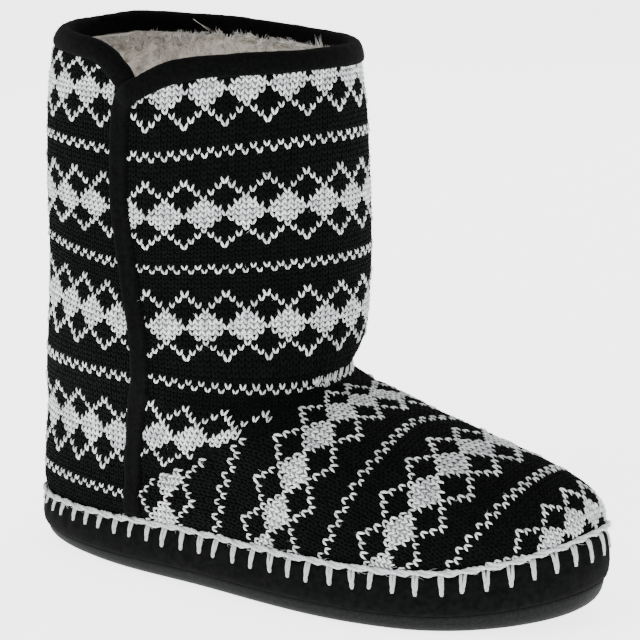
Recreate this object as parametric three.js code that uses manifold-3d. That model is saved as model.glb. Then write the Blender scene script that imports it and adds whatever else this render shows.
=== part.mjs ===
// A knitted bootie slipper for the right foot: a soft boot with a knitted upper, a tape bound
// round its collar and down its lapped outer side, a covered platform, a rubber outsole and an insole.
// Millimetres. +X runs to the toe, +Y to the inner side of the foot and +Z up from the floor.

import * as THREE from "three";
import { mergeVertices } from "three/addons/utils/BufferGeometryUtils.js";
import Module from "manifold-3d";

const wasm = await Module();
wasm.setup();

// Driving dimensions
const LENGTH = 262; // heel to toe over the sole
const BALL_WIDTH = 104; // across the sole at the ball of the foot
const OUTSOLE_HEIGHT = 8; // thickness of the rubber
const SOLE_HEIGHT = 25; // floor to the seam where the knit meets the platform
const INSTEP_HEIGHT = 92; // floor to the crease between foot and shaft
const COLLAR_BACK = 225; // floor to the collar at the heel side
const COLLAR_FRONT = 227; // floor to the collar at the shin side
const TOE_SPRING = 5.8; // how far the tip of the sole lifts off the floor
const WALL = 3; // knit with its fleece backing
const INSOLE = 5;
const TAPE = 1.2; // thickness of the binding tape on each face of the wall
const TAPE_WIDTH = 8;
const GAP = 0.3; // between pieces that touch

// Where the front panel laps over the back one, on the outer side
const LAP_STEP = 1.6; // one more layer of fabric in front of the tape
const NOTCH_HEIGHT = 206; // where the rim of the back panel passes under the front one

// How finely the forms are cut
const COLUMNS = 27; // from heel to toe along each side
const TOP = COLLAR_FRONT + 12; // every form starts above the collar and is trimmed to it

const foot = (share) => SOLE_HEIGHT + share * (INSTEP_HEIGHT - SOLE_HEIGHT);
const shaft = (share) => INSTEP_HEIGHT + share * (COLLAR_BACK - INSTEP_HEIGHT);

// Level sections of the upper. back, front and widest are shares of LENGTH, half is a share of
// BALL_WIDTH, heel and toe say how square each end is (2 is an ellipse), and swing is how far the
// tip leans to the inner side, in mm.
const LEVELS = [
  { z: foot(0), back: 0.008, front: 0.994, widest: 0.6, half: 0.475, heel: 2.65, toe: 2.3, swing: 14 },
  { z: foot(0.12), back: 0.001, front: 0.99, widest: 0.585, half: 0.485, heel: 2.6, toe: 2.3, swing: 14 },
  { z: foot(0.3), back: 0.001, front: 0.968, widest: 0.55, half: 0.478, heel: 2.5, toe: 2.2, swing: 12 },
  { z: foot(0.5), back: 0.001, front: 0.898, widest: 0.48, half: 0.472, heel: 2.35, toe: 2.1, swing: 9 },
  { z: foot(0.7), back: 0.005, front: 0.7, widest: 0.4, half: 0.48, heel: 2.25, toe: 2.1, swing: 5 },
  { z: foot(0.88), back: 0.014, front: 0.551, widest: 0.345, half: 0.495, heel: 2.2, toe: 2.1, swing: 1 },
  { z: foot(1), back: 0.023, front: 0.562, widest: 0.32, half: 0.51, heel: 2.2, toe: 2.1, swing: 0 },
  { z: shaft(0.14), back: 0.036, front: 0.58, widest: 0.3, half: 0.53, heel: 2.2, toe: 2.1, swing: 0 },
  { z: shaft(0.36), back: 0.043, front: 0.586, widest: 0.3, half: 0.54, heel: 2.2, toe: 2.1, swing: 0 },
  { z: shaft(0.7), back: 0.04, front: 0.58, widest: 0.3, half: 0.53, heel: 2.2, toe: 2.1, swing: 0 },
  { z: shaft(0.92), back: 0.042, front: 0.563, widest: 0.3, half: 0.52, heel: 2.2, toe: 2.1, swing: 0 },
  { z: TOP, back: 0.05, front: 0.535, widest: 0.3, half: 0.505, heel: 2.2, toe: 2.1, swing: 0 },
];

// The plan of the sole, in the same columns
const SOLE_PLAN = { back: 0, front: 1, widest: 0.6, half: 0.494, heel: 2.66, toe: 2.26, swing: 14.7 };

// The waist of the sole, drawn in on both sides and lifted a little off the floor
const ARCH = { at: 0.4 * LENGTH, reach: 0.13 * LENGTH, inner: 4.5, outer: 3, height: foot(0.4) };
const ARCH_UNDERSIDE = { reach: 0.2 * LENGTH, lift: 1.2 };

// The line where the knit meets the platform, above or below SOLE_HEIGHT along the foot
const FEATHER_LINE = { heel: -4.5, heelEnds: 0.4 * LENGTH, toe: 7, toeStarts: 0.8 * LENGTH };
const SPRING_STARTS = 0.76 * LENGTH; // the ball of the foot

// Side of the platform and of the outsole: how far each height lies inside the sole's plan
const PLATFORM_SIDE = [
  { z: OUTSOLE_HEIGHT + GAP, inset: 1 },
  { z: OUTSOLE_HEIGHT + 3.5, inset: 0.1 },
  { z: SOLE_HEIGHT - 8, inset: 0 },
  { z: SOLE_HEIGHT - 3, inset: 0.9 },
  { z: SOLE_HEIGHT, inset: 2.6 },
];
const OUTSOLE_SIDE = [
  { z: 0, inset: 9.5 },
  { z: 0.9, inset: 6.4 },
  { z: 2.8, inset: 3.8 },
  { z: 5.2, inset: 2.4 },
  { z: OUTSOLE_HEIGHT, inset: 1.9 },
];

// The seam down the outer side, where the front panel laps over the back one
const SEAM = [
  { z: 0, x: 0.27 * LENGTH },
  { z: foot(0.4), x: 0.277 * LENGTH },
  { z: foot(1), x: 0.308 * LENGTH },
  { z: shaft(0.27), x: 0.306 * LENGTH },
  { z: shaft(0.58), x: 0.282 * LENGTH },
  { z: TOP, x: 0.28 * LENGTH },
];

// A smooth curve through one column of a table, with no overshoot between its rows
function curveThrough(rows, column) {
  const z = rows.map((row) => row.z);
  const value = rows.map((row) => row[column]);
  const slope = z.slice(1).map((next, i) => (value[i + 1] - value[i]) / (next - z[i]));
  const tangent = z.map((_, i) => {
    if (i === 0) return slope[0];
    if (i === z.length - 1) return slope[i - 1];
    const [before, after] = [slope[i - 1], slope[i]];
    return before * after <= 0 ? 0 : (2 * before * after) / (before + after);
  });
  return (at) => {
    const height = Math.min(Math.max(at, z[0]), z[z.length - 1]);
    const i = Math.max(1, z.findIndex((edge) => edge >= height)) - 1;
    const span = z[i + 1] - z[i];
    const t = (height - z[i]) / span;
    return (
      value[i] * (1 + 2 * t) * (1 - t) ** 2 +
      value[i + 1] * t * t * (3 - 2 * t) +
      span * tangent[i] * t * (1 - t) ** 2 +
      span * tangent[i + 1] * t * t * (t - 1)
    );
  };
}

const COLUMNS_OF_A_LEVEL = ["back", "front", "widest", "half", "heel", "toe", "swing"];
const levelCurves = COLUMNS_OF_A_LEVEL.map((name) => [name, curveThrough(LEVELS, name)]);
const levelAt = (z) => Object.fromEntries(levelCurves.map(([name, curve]) => [name, curve(z)]));
const seamAt = curveThrough(SEAM, "x");

const bump = (x) => Math.exp(-x * x);
const smooth = (x) => {
  const t = Math.min(Math.max(x, 0), 1);
  return t * t * (3 - 2 * t);
};

// How far the bending of the sole carries a point above its nominal height
function lift(x, z) {
  const tip = Math.max(0, (x - SPRING_STARTS) / (LENGTH - SPRING_STARTS));
  const toe = Math.max(0, (x - FEATHER_LINE.toeStarts) / (LENGTH - FEATHER_LINE.toeStarts));
  const heel = Math.max(0, 1 - x / FEATHER_LINE.heelEnds);
  const waist = ARCH_UNDERSIDE.lift * smooth(1 - Math.abs(x - ARCH.at) / ARCH_UNDERSIDE.reach);
  const share = z < SOLE_HEIGHT ? z / SOLE_HEIGHT : Math.max(0, (TOP - z) / (TOP - SOLE_HEIGHT)) ** 3;
  return TOE_SPRING * tip * tip + waist + share * (FEATHER_LINE.toe * toe * toe + FEATHER_LINE.heel * heel);
}

// One side of a level section, from the middle of the heel to the tip of the toe, at equal steps.
// side is -1 for the outer side of the foot and 1 for the inner side.
function halfOutline(level, side, z) {
  const [back, front, widest] = [level.back, level.front, level.widest].map((share) => share * LENGTH);
  const half = level.half * BALL_WIDTH;
  const archDepth = (side > 0 ? ARCH.inner : ARCH.outer) * (1 - smooth(z / ARCH.height));
  const corner = (x, width) => {
    const tip = Math.max(0, (x - widest) / (front - widest));
    const waist = archDepth * bump((x - ARCH.at) / ARCH.reach);
    return [x, side * Math.max(0, width - waist * (width / half)) + level.swing * tip * tip];
  };
  const fine = [];
  const steps = 120;
  for (let i = 0; i <= steps; i++) {
    const angle = (i / steps) * (Math.PI / 2);
    const [along, across] = [Math.cos(angle), Math.sin(angle)].map((v) => v ** (2 / level.heel));
    fine.push(corner(widest - (widest - back) * along, half * across));
  }
  for (let i = 1; i <= steps; i++) {
    const angle = (i / steps) * (Math.PI / 2);
    const [along, across] = [Math.sin(angle), Math.cos(angle)].map((v) => Math.abs(v) ** (2 / level.toe));
    fine.push(corner(widest + (front - widest) * along, half * across));
  }
  const run = [0];
  for (let i = 1; i < fine.length; i++)
    run.push(run[i - 1] + Math.hypot(fine[i][0] - fine[i - 1][0], fine[i][1] - fine[i - 1][1]));
  const points = [];
  for (let column = 0, i = 1; column <= COLUMNS; column++) {
    const wanted = (column / COLUMNS) * run[run.length - 1];
    while (i < run.length - 1 && run[i] < wanted) i++;
    const t = (wanted - run[i - 1]) / (run[i] - run[i - 1]);
    points.push([0, 1].map((axis) => fine[i - 1][axis] + t * (fine[i][axis] - fine[i - 1][axis])));
  }
  return points;
}

// The closed ring of a level section, counter-clockwise from above, starting at the heel
function ring(level, z) {
  const outer = halfOutline(level, -1, z);
  const inner = halfOutline(level, 1, z);
  return [...outer, ...inner.slice(1, -1).reverse()];
}

// How far the front panel stands proud of the back one where it laps over it
function lap([x, y], z) {
  const ahead = x - seamAt(z);
  const above = smooth((z - SOLE_HEIGHT) / 12);
  const onOuterSide = y < 0 ? 1 : 0;
  return onOuterSide * above * LAP_STEP * smooth(ahead / 7) * (1 - smooth((ahead - 10) / 40));
}

// Grid rows moved out along the surface's own normals by offset(point, z)
function offsetRows(rows, offset) {
  const count = rows[0].length;
  const at = (r, c) => rows[Math.min(Math.max(r, 0), rows.length - 1)][(c + count) % count];
  const [around, up] = [new THREE.Vector3(), new THREE.Vector3()];
  return rows.map((row, r) =>
    row.map((point, c) => {
      around.subVectors(at(r, c + 1), at(r, c - 1));
      up.subVectors(at(r + 1, c), at(r - 1, c));
      const normal = around.cross(up).normalize();
      return point.clone().addScaledVector(normal, offset([point.x, point.y], point.z));
    }),
  );
}

// A closed body from stacked rings. Each end is closed by strips from side to side, which bend
// with the toe spring as the sole does.
function stackRings(rows) {
  const count = rows[0].length;
  const triangles = [];
  for (let r = 0; r + 1 < rows.length; r++)
    for (let c = 0; c < count; c++) {
      const [a, b] = [r * count + c, r * count + ((c + 1) % count)];
      triangles.push([a, b, b + count], [a, b + count, a + count]);
    }
  const top = (rows.length - 1) * count;
  for (let c = 0; 2 * c < count; c++) {
    const [outer, nextOuter] = [c, c + 1];
    const [inner, nextInner] = [(count - c) % count, count - c - 1];
    for (const [p, q, r] of [
      [outer, nextOuter, nextInner],
      [outer, nextInner, inner],
    ]) {
      if (p === q || q === r || r === p) continue;
      triangles.push([p, r, q], [top + p, top + q, top + r]);
    }
  }
  return new wasm.Manifold(
    new wasm.Mesh({
      numProp: 3,
      vertProperties: new Float32Array(rows.flat().flatMap((point) => point.toArray())),
      triVerts: new Uint32Array(triangles.flat()),
    }),
  );
}

// Heights of the rings: close together over the toe and the instep, wider up the shaft
function ringHeights(from, to) {
  const heights = [];
  const steps = [
    { upTo: foot(0.35), step: 4.6 },
    { upTo: foot(0.95), step: 3.1 },
    { upTo: foot(1.2), step: 7 },
    { upTo: TOP, step: 16 },
  ];
  for (let z = from; z < to - 1; z += steps.find((range) => z < range.upTo - 0.01).step) heights.push(z);
  return [...heights, to];
}

// The boot's outer form moved out by `offset` (in, when negative), between two heights
function form(offset, from, to) {
  const heights = ringHeights(Math.max(from, SOLE_HEIGHT), to);
  let rows = heights.map((z) => ring(levelAt(z), z).map(([x, y]) => new THREE.Vector3(x, y, z)));
  rows = offsetRows(rows, (point, z) => offset + lap(point, z));
  const flat = rows.map((row, r) => row.map((point) => new THREE.Vector3(point.x, point.y, heights[r])));
  const last = rows.length - 1;
  [rows[0], rows[last]] = [flat[0], flat[last]];
  if (from < SOLE_HEIGHT) rows.unshift(flat[0].map((point) => new THREE.Vector3(point.x, point.y, from)));
  for (const point of rows.flat()) point.z += lift(point.x, point.z);
  return stackRings(rows);
}

// A slab of the sole whose side follows a table of insets
function soleSlab(side) {
  const plan = ring(SOLE_PLAN, 0);
  const count = plan.length;
  const rows = side.map(({ z, inset }) =>
    plan.map(([x, y], c) => {
      const [before, after] = [plan[(c + count - 1) % count], plan[(c + 1) % count]];
      const length = Math.hypot(after[0] - before[0], after[1] - before[1]);
      const outward = [(after[1] - before[1]) / length, -(after[0] - before[0]) / length];
      const moved = [x - inset * outward[0], y - inset * outward[1]];
      return new THREE.Vector3(moved[0], moved[1], z + lift(moved[0], z));
    }),
  );
  return stackRings(rows);
}

// The collar's edge seen from the side
const collarAt = (x) => COLLAR_BACK + ((COLLAR_FRONT - COLLAR_BACK) * x) / (0.57 * LENGTH);
const CORNER = { across: 54, down: 38 }; // the rounded upper corner of the front panel
const LAP = 14; // how far the back panel reaches in behind the front one
const BACK_RIM_FALLS = 0.15 * LENGTH; // from here the rim of the back panel curves down to the notch
const ENDS = [-30, LENGTH + 30]; // well past the heel and the toe
const BELOW = -50; // well under the floor

// Outline of each panel seen from the side, as [x, z] points, with its edge drawn in by `inset`
function frontPanel(inset) {
  const cornerStarts = collarAt(0) - CORNER.down;
  const x0 = seamAt(cornerStarts) - TAPE_WIDTH / 2;
  const points = [];
  for (let i = 0; i <= 12; i++) {
    const z = BELOW + (i / 12) * (cornerStarts - BELOW);
    points.push([seamAt(z) - TAPE_WIDTH / 2 + inset, z]);
  }
  for (let i = 1; i <= 12; i++) {
    const angle = (i / 12) * (Math.PI / 2);
    const [across, up] = [CORNER.across * (1 - Math.cos(angle)), CORNER.down * (1 - Math.sin(angle))];
    points.push([
      x0 + across + inset * Math.cos(angle),
      collarAt(x0 + across) - up - inset * Math.sin(angle),
    ]);
  }
  points.push([ENDS[1], collarAt(ENDS[1]) - inset], [ENDS[1], BELOW]);
  return points;
}

function backPanel(inset) {
  const end = seamAt(NOTCH_HEIGHT) + LAP;
  const points = [[ENDS[0], BELOW], [end, BELOW]];
  for (let i = 10; i >= 0; i--) {
    const x = BACK_RIM_FALLS + (i / 10) * (end - BACK_RIM_FALLS);
    const fall = (collarAt(x) - NOTCH_HEIGHT) * (i / 10) ** 2.4;
    points.push([x, collarAt(x) - fall - inset]);
  }
  points.push([ENDS[0], collarAt(ENDS[0]) - inset]);
  return points;
}

function innerSide(inset) {
  const [heel, toe] = ENDS;
  return [[heel, BELOW], [toe, BELOW], [toe, collarAt(toe) - inset], [heel, collarAt(heel) - inset]];
}

// A prism of an [x, z] outline from y0 to y1
function prism(outline, y0, y1) {
  const shape = new THREE.Shape(outline.map(([x, z]) => new THREE.Vector2(x, z)));
  const geometry = new THREE.ExtrudeGeometry(shape, { depth: y1 - y0, bevelEnabled: false });
  geometry.rotateX(Math.PI / 2);
  geometry.translate(0, y1, 0);
  geometry.deleteAttribute("normal");
  geometry.deleteAttribute("uv");
  const merged = mergeVertices(geometry, 1e-4);
  return new wasm.Manifold(
    new wasm.Mesh({
      numProp: 3,
      vertProperties: merged.attributes.position.array,
      triVerts: new Uint32Array(merged.index.array),
    }),
  );
}

// The space that the fabric fills, its edges drawn in by `inset`
function panels(inset) {
  return prism(frontPanel(inset), -100, 0)
    .add(prism(backPanel(inset), -100, 0))
    .add(prism(innerSide(inset), 0, 100));
}

const BASE = SOLE_HEIGHT + GAP;

// Everything between two offsets of the boot's outer form
const shell = (outside, inside) => form(outside, BASE, TOP).subtract(form(inside, BASE - 5, TOP + 5));

function upper() {
  return shell(0, -WALL).intersect(panels(TAPE + GAP));
}

// The tape: a channel over the rim of the fabric, and its outer face alone down the seam
function binding() {
  const bare = prism(backPanel(TAPE_WIDTH), -100, 0)
    .subtract(prism(frontPanel(0), -100, 0))
    .add(prism(frontPanel(TAPE_WIDTH), -100, 0))
    .add(prism(innerSide(TAPE_WIDTH), 0, 100));
  const fabric = form(GAP, BASE - 5, TOP).intersect(panels(TAPE));
  const innerFace = form(-WALL - GAP, BASE - 5, TOP).subtract(panels(TAPE_WIDTH));
  return shell(TAPE + GAP, -WALL - TAPE - GAP)
    .intersect(panels(0).subtract(bare))
    .subtract(fabric.subtract(innerFace));
}

function insole() {
  return form(-WALL - 2 * GAP, BASE, BASE + INSOLE);
}

const MATERIALS = {
  knit: { color: 0x141515, roughness: 0.95, metalness: 0 },
  tape: { color: 0x0b0b0b, roughness: 0.9, metalness: 0 },
  suede: { color: 0x101111, roughness: 0.92, metalness: 0 },
  rubber: { color: 0x1b1c1d, roughness: 0.7, metalness: 0 },
  fleece: { color: 0xe6e0d6, roughness: 1, metalness: 0 },
};

function part(name, solid, material) {
  const { vertProperties, triVerts } = solid.getMesh();
  const geometry = new THREE.BufferGeometry();
  geometry.setAttribute("position", new THREE.BufferAttribute(vertProperties, 3));
  geometry.setIndex(new THREE.BufferAttribute(triVerts, 1));
  geometry.computeVertexNormals();
  const mesh = new THREE.Mesh(geometry, new THREE.MeshStandardMaterial(MATERIALS[material]));
  mesh.name = name;
  return mesh;
}

const slipper = new THREE.Group();
slipper.add(part("outsole", soleSlab(OUTSOLE_SIDE), "rubber"));
slipper.add(part("platform", soleSlab(PLATFORM_SIDE), "suede"));
slipper.add(part("insole", insole(), "fleece"));
slipper.add(part("upper", upper(), "knit"));
slipper.add(part("binding", binding(), "tape"));

// The origin is the middle of the footprint, on the floor
const box = new THREE.Box3().setFromObject(slipper);
slipper.position.set(-(box.min.x + box.max.x) / 2, -(box.min.y + box.max.y) / 2, -box.min.z);

export default slipper;
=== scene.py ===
# %% [markdown]
# A knitted bootie slipper for the right foot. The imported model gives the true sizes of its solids: an
# outsole, a platform, an insole, one hollow upper and a binding tape. This lesson dresses them. Every
# piece is drawn in millimetres from the heel, and a single helper moves it into the model's frame.

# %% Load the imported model
import math
import bmesh
import bpy
import numpy as np
from mathutils import Matrix, Vector


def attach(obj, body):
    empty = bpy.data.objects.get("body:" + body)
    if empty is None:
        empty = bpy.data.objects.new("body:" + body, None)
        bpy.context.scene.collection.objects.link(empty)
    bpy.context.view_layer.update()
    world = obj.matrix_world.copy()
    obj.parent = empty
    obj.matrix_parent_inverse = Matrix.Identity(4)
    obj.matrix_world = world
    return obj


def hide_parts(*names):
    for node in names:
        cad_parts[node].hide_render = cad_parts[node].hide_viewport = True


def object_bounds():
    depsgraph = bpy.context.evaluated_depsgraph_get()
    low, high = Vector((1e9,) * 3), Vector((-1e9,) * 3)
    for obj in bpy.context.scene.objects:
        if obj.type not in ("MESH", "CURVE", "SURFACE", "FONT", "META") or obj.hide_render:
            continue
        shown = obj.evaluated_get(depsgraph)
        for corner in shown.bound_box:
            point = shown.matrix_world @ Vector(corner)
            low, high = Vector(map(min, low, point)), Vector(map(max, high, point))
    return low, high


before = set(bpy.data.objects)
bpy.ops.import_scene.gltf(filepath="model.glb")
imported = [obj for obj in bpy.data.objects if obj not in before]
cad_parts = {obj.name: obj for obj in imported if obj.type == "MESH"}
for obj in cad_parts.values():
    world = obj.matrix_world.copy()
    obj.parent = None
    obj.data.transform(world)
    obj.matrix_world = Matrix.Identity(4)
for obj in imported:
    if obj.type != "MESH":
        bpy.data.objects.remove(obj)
CAD_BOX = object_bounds()
print("nodes to dress:", sorted(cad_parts))
print("box of the solids, mm:", [round(1000 * side, 1) for side in CAD_BOX[1] - CAD_BOX[0]])

# %% [markdown]
# The boot is a soft form over a last, so its sizes are those of a last: length, width at the ball, height
# of the sole, of the instep and of the collar. Everything below is worked out from these few numbers, so
# the knit, the tape and the stitches all land on the same surface.

# %% Sizes in millimetres
LENGTH = 262
BALL_WIDTH = 104
OUTSOLE_HEIGHT = 8
SOLE_HEIGHT = 25
INSTEP_HEIGHT = 92
COLLAR_BACK = 225
COLLAR_FRONT = 223
TOE_SPRING = 5.8
WALL = 3
GAP = 0.3
TAPE_WIDTH = 9
INSOLE = 5
TOP = 239  # the sections run on to this height, a little above the collar
MIDLINE = 1.188  # the heel's centre line lies this far to the inner side of the frame's origin
MM = 0.001


def foot(share):
    """A height between the sole and the instep."""
    return SOLE_HEIGHT + share * (INSTEP_HEIGHT - SOLE_HEIGHT)


def shaft(share):
    """A height between the instep and the collar."""
    return INSTEP_HEIGHT + share * (COLLAR_BACK - INSTEP_HEIGHT)


def to_frame(points):
    """Millimetres from the heel, as metres in the model's frame."""
    shift = np.array([1000 * CAD_BOX[0].x, MIDLINE, 0.0])
    return (np.asarray(points, float) + shift) * MM


# %% [markdown]
# A last is described by level sections, as a naval architect draws a hull. Each row says where the section
# starts and ends, where it is widest, how wide, how square its two ends are and how far the toe swings to
# the inner side. A smooth curve runs through each column, with no overshoot between two rows. The line of
# the side seam is a short table too. It was measured on the photograph through the camera that is set up
# further down, and then eased until the seam in the picture lay on the real one.

# %% The level sections
COLUMN_NAMES = ["z", "back", "front", "widest", "half", "heel", "toe", "swing"]
LEVEL_ROWS = [
    (foot(0), 0.008, 0.994, 0.6, 0.475, 2.65, 2.3, 14),
    (foot(0.12), 0.001, 0.99, 0.585, 0.485, 2.6, 2.3, 14),
    (foot(0.3), 0.001, 0.968, 0.55, 0.478, 2.5, 2.2, 12),
    (foot(0.5), 0.001, 0.898, 0.48, 0.472, 2.35, 2.1, 9),
    (foot(0.7), 0.005, 0.7, 0.4, 0.48, 2.25, 2.1, 5),
    (foot(0.88), 0.014, 0.551, 0.345, 0.495, 2.2, 2.1, 1),
    (foot(1), 0.023, 0.562, 0.32, 0.51, 2.2, 2.1, 0),
    (shaft(0.14), 0.036, 0.58, 0.3, 0.53, 2.2, 2.1, 0),
    (shaft(0.36), 0.043, 0.586, 0.3, 0.54, 2.2, 2.1, 0),
    (shaft(0.7), 0.04, 0.58, 0.3, 0.53, 2.2, 2.1, 0),
    (shaft(0.9), 0.048, 0.563, 0.3, 0.52, 2.2, 2.1, 0),
    (TOP, 0.126, 0.525, 0.3, 0.488, 2.15, 2.1, 0),
]
LEVELS = {name: [row[i] for row in LEVEL_ROWS] for i, name in enumerate(COLUMN_NAMES)}
SOLE_PLAN = {"back": 0, "front": 1, "widest": 0.6, "half": 0.494, "heel": 2.66, "toe": 2.26, "swing": 14.7}
SEAM_HEIGHTS = [0, 45, 60, 75, 90, 105, 125, 147, 167, 190, TOP]
SEAM_PLACES = [76.6, 76.8, 78.4, 81.7, 86.0, 86.7, 84.0, 80.8, 78.5, 78.6, 78.6]
ARCH = {"at": 0.4 * LENGTH, "reach": 0.13 * LENGTH, "inner": 4.5, "outer": 1.8, "height": foot(0.4)}
UNDERSIDE = {"reach": 0.2 * LENGTH, "lift": 0.4}
FEATHER_LINE = {"heel": -4.5, "heel_ends": 0.4 * LENGTH, "toe": 7, "toe_starts": 0.8 * LENGTH}
SPRING_STARTS = 0.76 * LENGTH


def curve_through(places, values):
    """A smooth curve through the values, flat at each high or low one."""
    z, v = np.array(places, float), np.array(values, float)
    slope = np.diff(v) / np.diff(z)
    before, after = slope[:-1], slope[1:]
    together = np.where(before * after > 0, before + after, 1)
    middle = np.where(before * after > 0, 2 * before * after / together, 0)
    tangent = np.r_[slope[0], middle, slope[-1]]

    def at(place):
        place = np.clip(place, z[0], z[-1])
        i = np.clip(np.searchsorted(z, place) - 1, 0, len(z) - 2)
        span = z[i + 1] - z[i]
        t = (place - z[i]) / span
        ends = v[i] * (1 + 2 * t) * (1 - t) ** 2 + v[i + 1] * t * t * (3 - 2 * t)
        return ends + span * (tangent[i] * t * (1 - t) ** 2 + tangent[i + 1] * t * t * (t - 1))

    return at


level_curves = {name: curve_through(LEVELS["z"], LEVELS[name]) for name in COLUMN_NAMES[1:]}
seam_at = curve_through(SEAM_HEIGHTS, SEAM_PLACES)
print("level sections:", len(LEVEL_ROWS))
print("the side seam at mid shaft lies", round(float(seam_at(150)), 1), "mm from the heel")


# %% Where a section's side lies
QUARTER_POINTS = 160  # points that draw one quarter of a section


def smooth(x):
    """Eases from 0 to 1 while x goes from 0 to 1, and stays level outside."""
    t = np.clip(x, 0, 1)
    return t * t * (3 - 2 * t)


def lift(x, h):
    """How far the bending of the sole carries a point above its nominal height h."""
    tip = np.maximum(0, (x - SPRING_STARTS) / (LENGTH - SPRING_STARTS))
    toe = np.maximum(0, (x - FEATHER_LINE["toe_starts"]) / (LENGTH - FEATHER_LINE["toe_starts"]))
    heel = np.maximum(0, 1 - x / FEATHER_LINE["heel_ends"])
    waist = UNDERSIDE["lift"] * smooth(1 - np.abs(x - ARCH["at"]) / UNDERSIDE["reach"])
    above = np.maximum(0, (TOP - h) / (TOP - SOLE_HEIGHT)) ** 3
    share = np.where(h < SOLE_HEIGHT, h / SOLE_HEIGHT, above)
    line = FEATHER_LINE["toe"] * toe * toe + FEATHER_LINE["heel"] * heel
    return TOE_SPRING * tip * tip + waist + share * line


def level_at(h):
    """The values of the level section at height h."""
    return {name: curve(h) for name, curve in level_curves.items()}


def side_of(level, x, h, side):
    """How far across a section its side lies at x. side is -1 for the outer side and 1 for the inner."""
    back, front, widest = (level[name] * LENGTH for name in ("back", "front", "widest"))
    half = level["half"] * BALL_WIDTH
    behind = np.clip((widest - x) / (widest - back), 0, 1)
    ahead = np.clip((x - widest) / (front - widest), 0, 1)
    round_heel = (1 - behind ** level["heel"]) ** (1 / level["heel"])
    round_toe = (1 - ahead ** level["toe"]) ** (1 / level["toe"])
    width = half * np.where(x < widest, round_heel, round_toe)
    depth = (ARCH["inner"] if side > 0 else ARCH["outer"]) * (1 - smooth(h / ARCH["height"]))
    waist = depth * np.exp(-(((x - ARCH["at"]) / ARCH["reach"]) ** 2))
    return side * (width - waist * width / half) + level["swing"] * ahead**2


def ring(level, h, columns):
    """A closed level section, counter-clockwise from above, from the heel, at equal steps on each side."""
    back, front, widest = (level[name] * LENGTH for name in ("back", "front", "widest"))
    angle = np.linspace(0, math.pi / 2, QUARTER_POINTS)
    heel = widest - (widest - back) * np.cos(angle) ** (2 / level["heel"])
    toe = widest + (front - widest) * np.sin(angle[1:]) ** (2 / level["toe"])
    x = np.r_[heel, toe]
    halves = []
    for side in (-1, 1):
        y = side_of(level, x, h, side)
        run = np.r_[0, np.cumsum(np.hypot(np.diff(x), np.diff(y)))]
        at = np.linspace(0, run[-1], columns + 1)
        halves.append(np.stack([np.interp(at, run, x), np.interp(at, run, y)], 1))
    return np.vstack([halves[0], halves[1][1:-1][::-1]])


# %% [markdown]
# The surface of the boot is kept as a fine grid of points: one row for each height and the same number of
# columns from heel to toe along both sides. Soft creases are moved into it: the fold where the
# shaft meets the foot, the shallow trough along the seam of the vamp, and slow waves in the loose shaft.

# %% The grid of the boot's surface
SIDE_COLUMNS = 200
ROUND = 2 * SIDE_COLUMNS
FINE_STEP_ENDS = 96  # the rows stand half a millimetre apart up to here and a whole one above
HEIGHTS = np.r_[np.arange(SOLE_HEIGHT, FINE_STEP_ENDS, 0.5), np.arange(FINE_STEP_ENDS, TOP + 0.5, 1.0)]
VAMP_SEAM_X = [0, 86, 104, 118, 138, 142, 145]
VAMP_SEAM_Z = [25, 45.4, 54, 61, 73, 80, 89]
VAMP_SEAM_END = VAMP_SEAM_X[-1]
INSTEP_FOLD = {"z": 88, "rise": 0.10, "reach": 5.0, "starts": 95, "depth": 1.3}
INSTEP_BULGE = {"z": 103, "reach": 9.0, "starts": 100, "height": 0.7}
HEEL_FOLD = {"z": 62, "rise": 0.16, "reach": 8.0, "ends": 80, "fades": 60, "depth": 1.1}
SEAM_TROUGH = {"reach": 4.0, "starts": 60, "ends": VAMP_SEAM_END + 1, "depth": 0.9}
WAVES = {"up": 17.0, "forward": 31.0, "across": 26.0, "starts": 96, "height": 0.55}
FADE = 40  # the folds at the instep fade in over this length
LAP = {"step": 1.6, "foot": 12, "edge": 7, "level": 10, "fades": 40}


def normals_of(points):
    """Unit normals of a grid whose columns close on themselves, facing out of the boot."""
    around = np.roll(points, -1, 1) - np.roll(points, 1, 1)
    up = np.empty_like(points)
    up[1:-1] = points[2:] - points[:-2]
    up[0], up[-1] = points[1] - points[0], points[-1] - points[-2]
    out = np.cross(around, up)
    return out / np.linalg.norm(out, axis=2, keepdims=True)


def above_vamp_seam(x, z):
    """How far a point lies above the seam between the vamp and the shaft, seen from the side."""
    return z - np.interp(x, VAMP_SEAM_X, VAMP_SEAM_Z)


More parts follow.
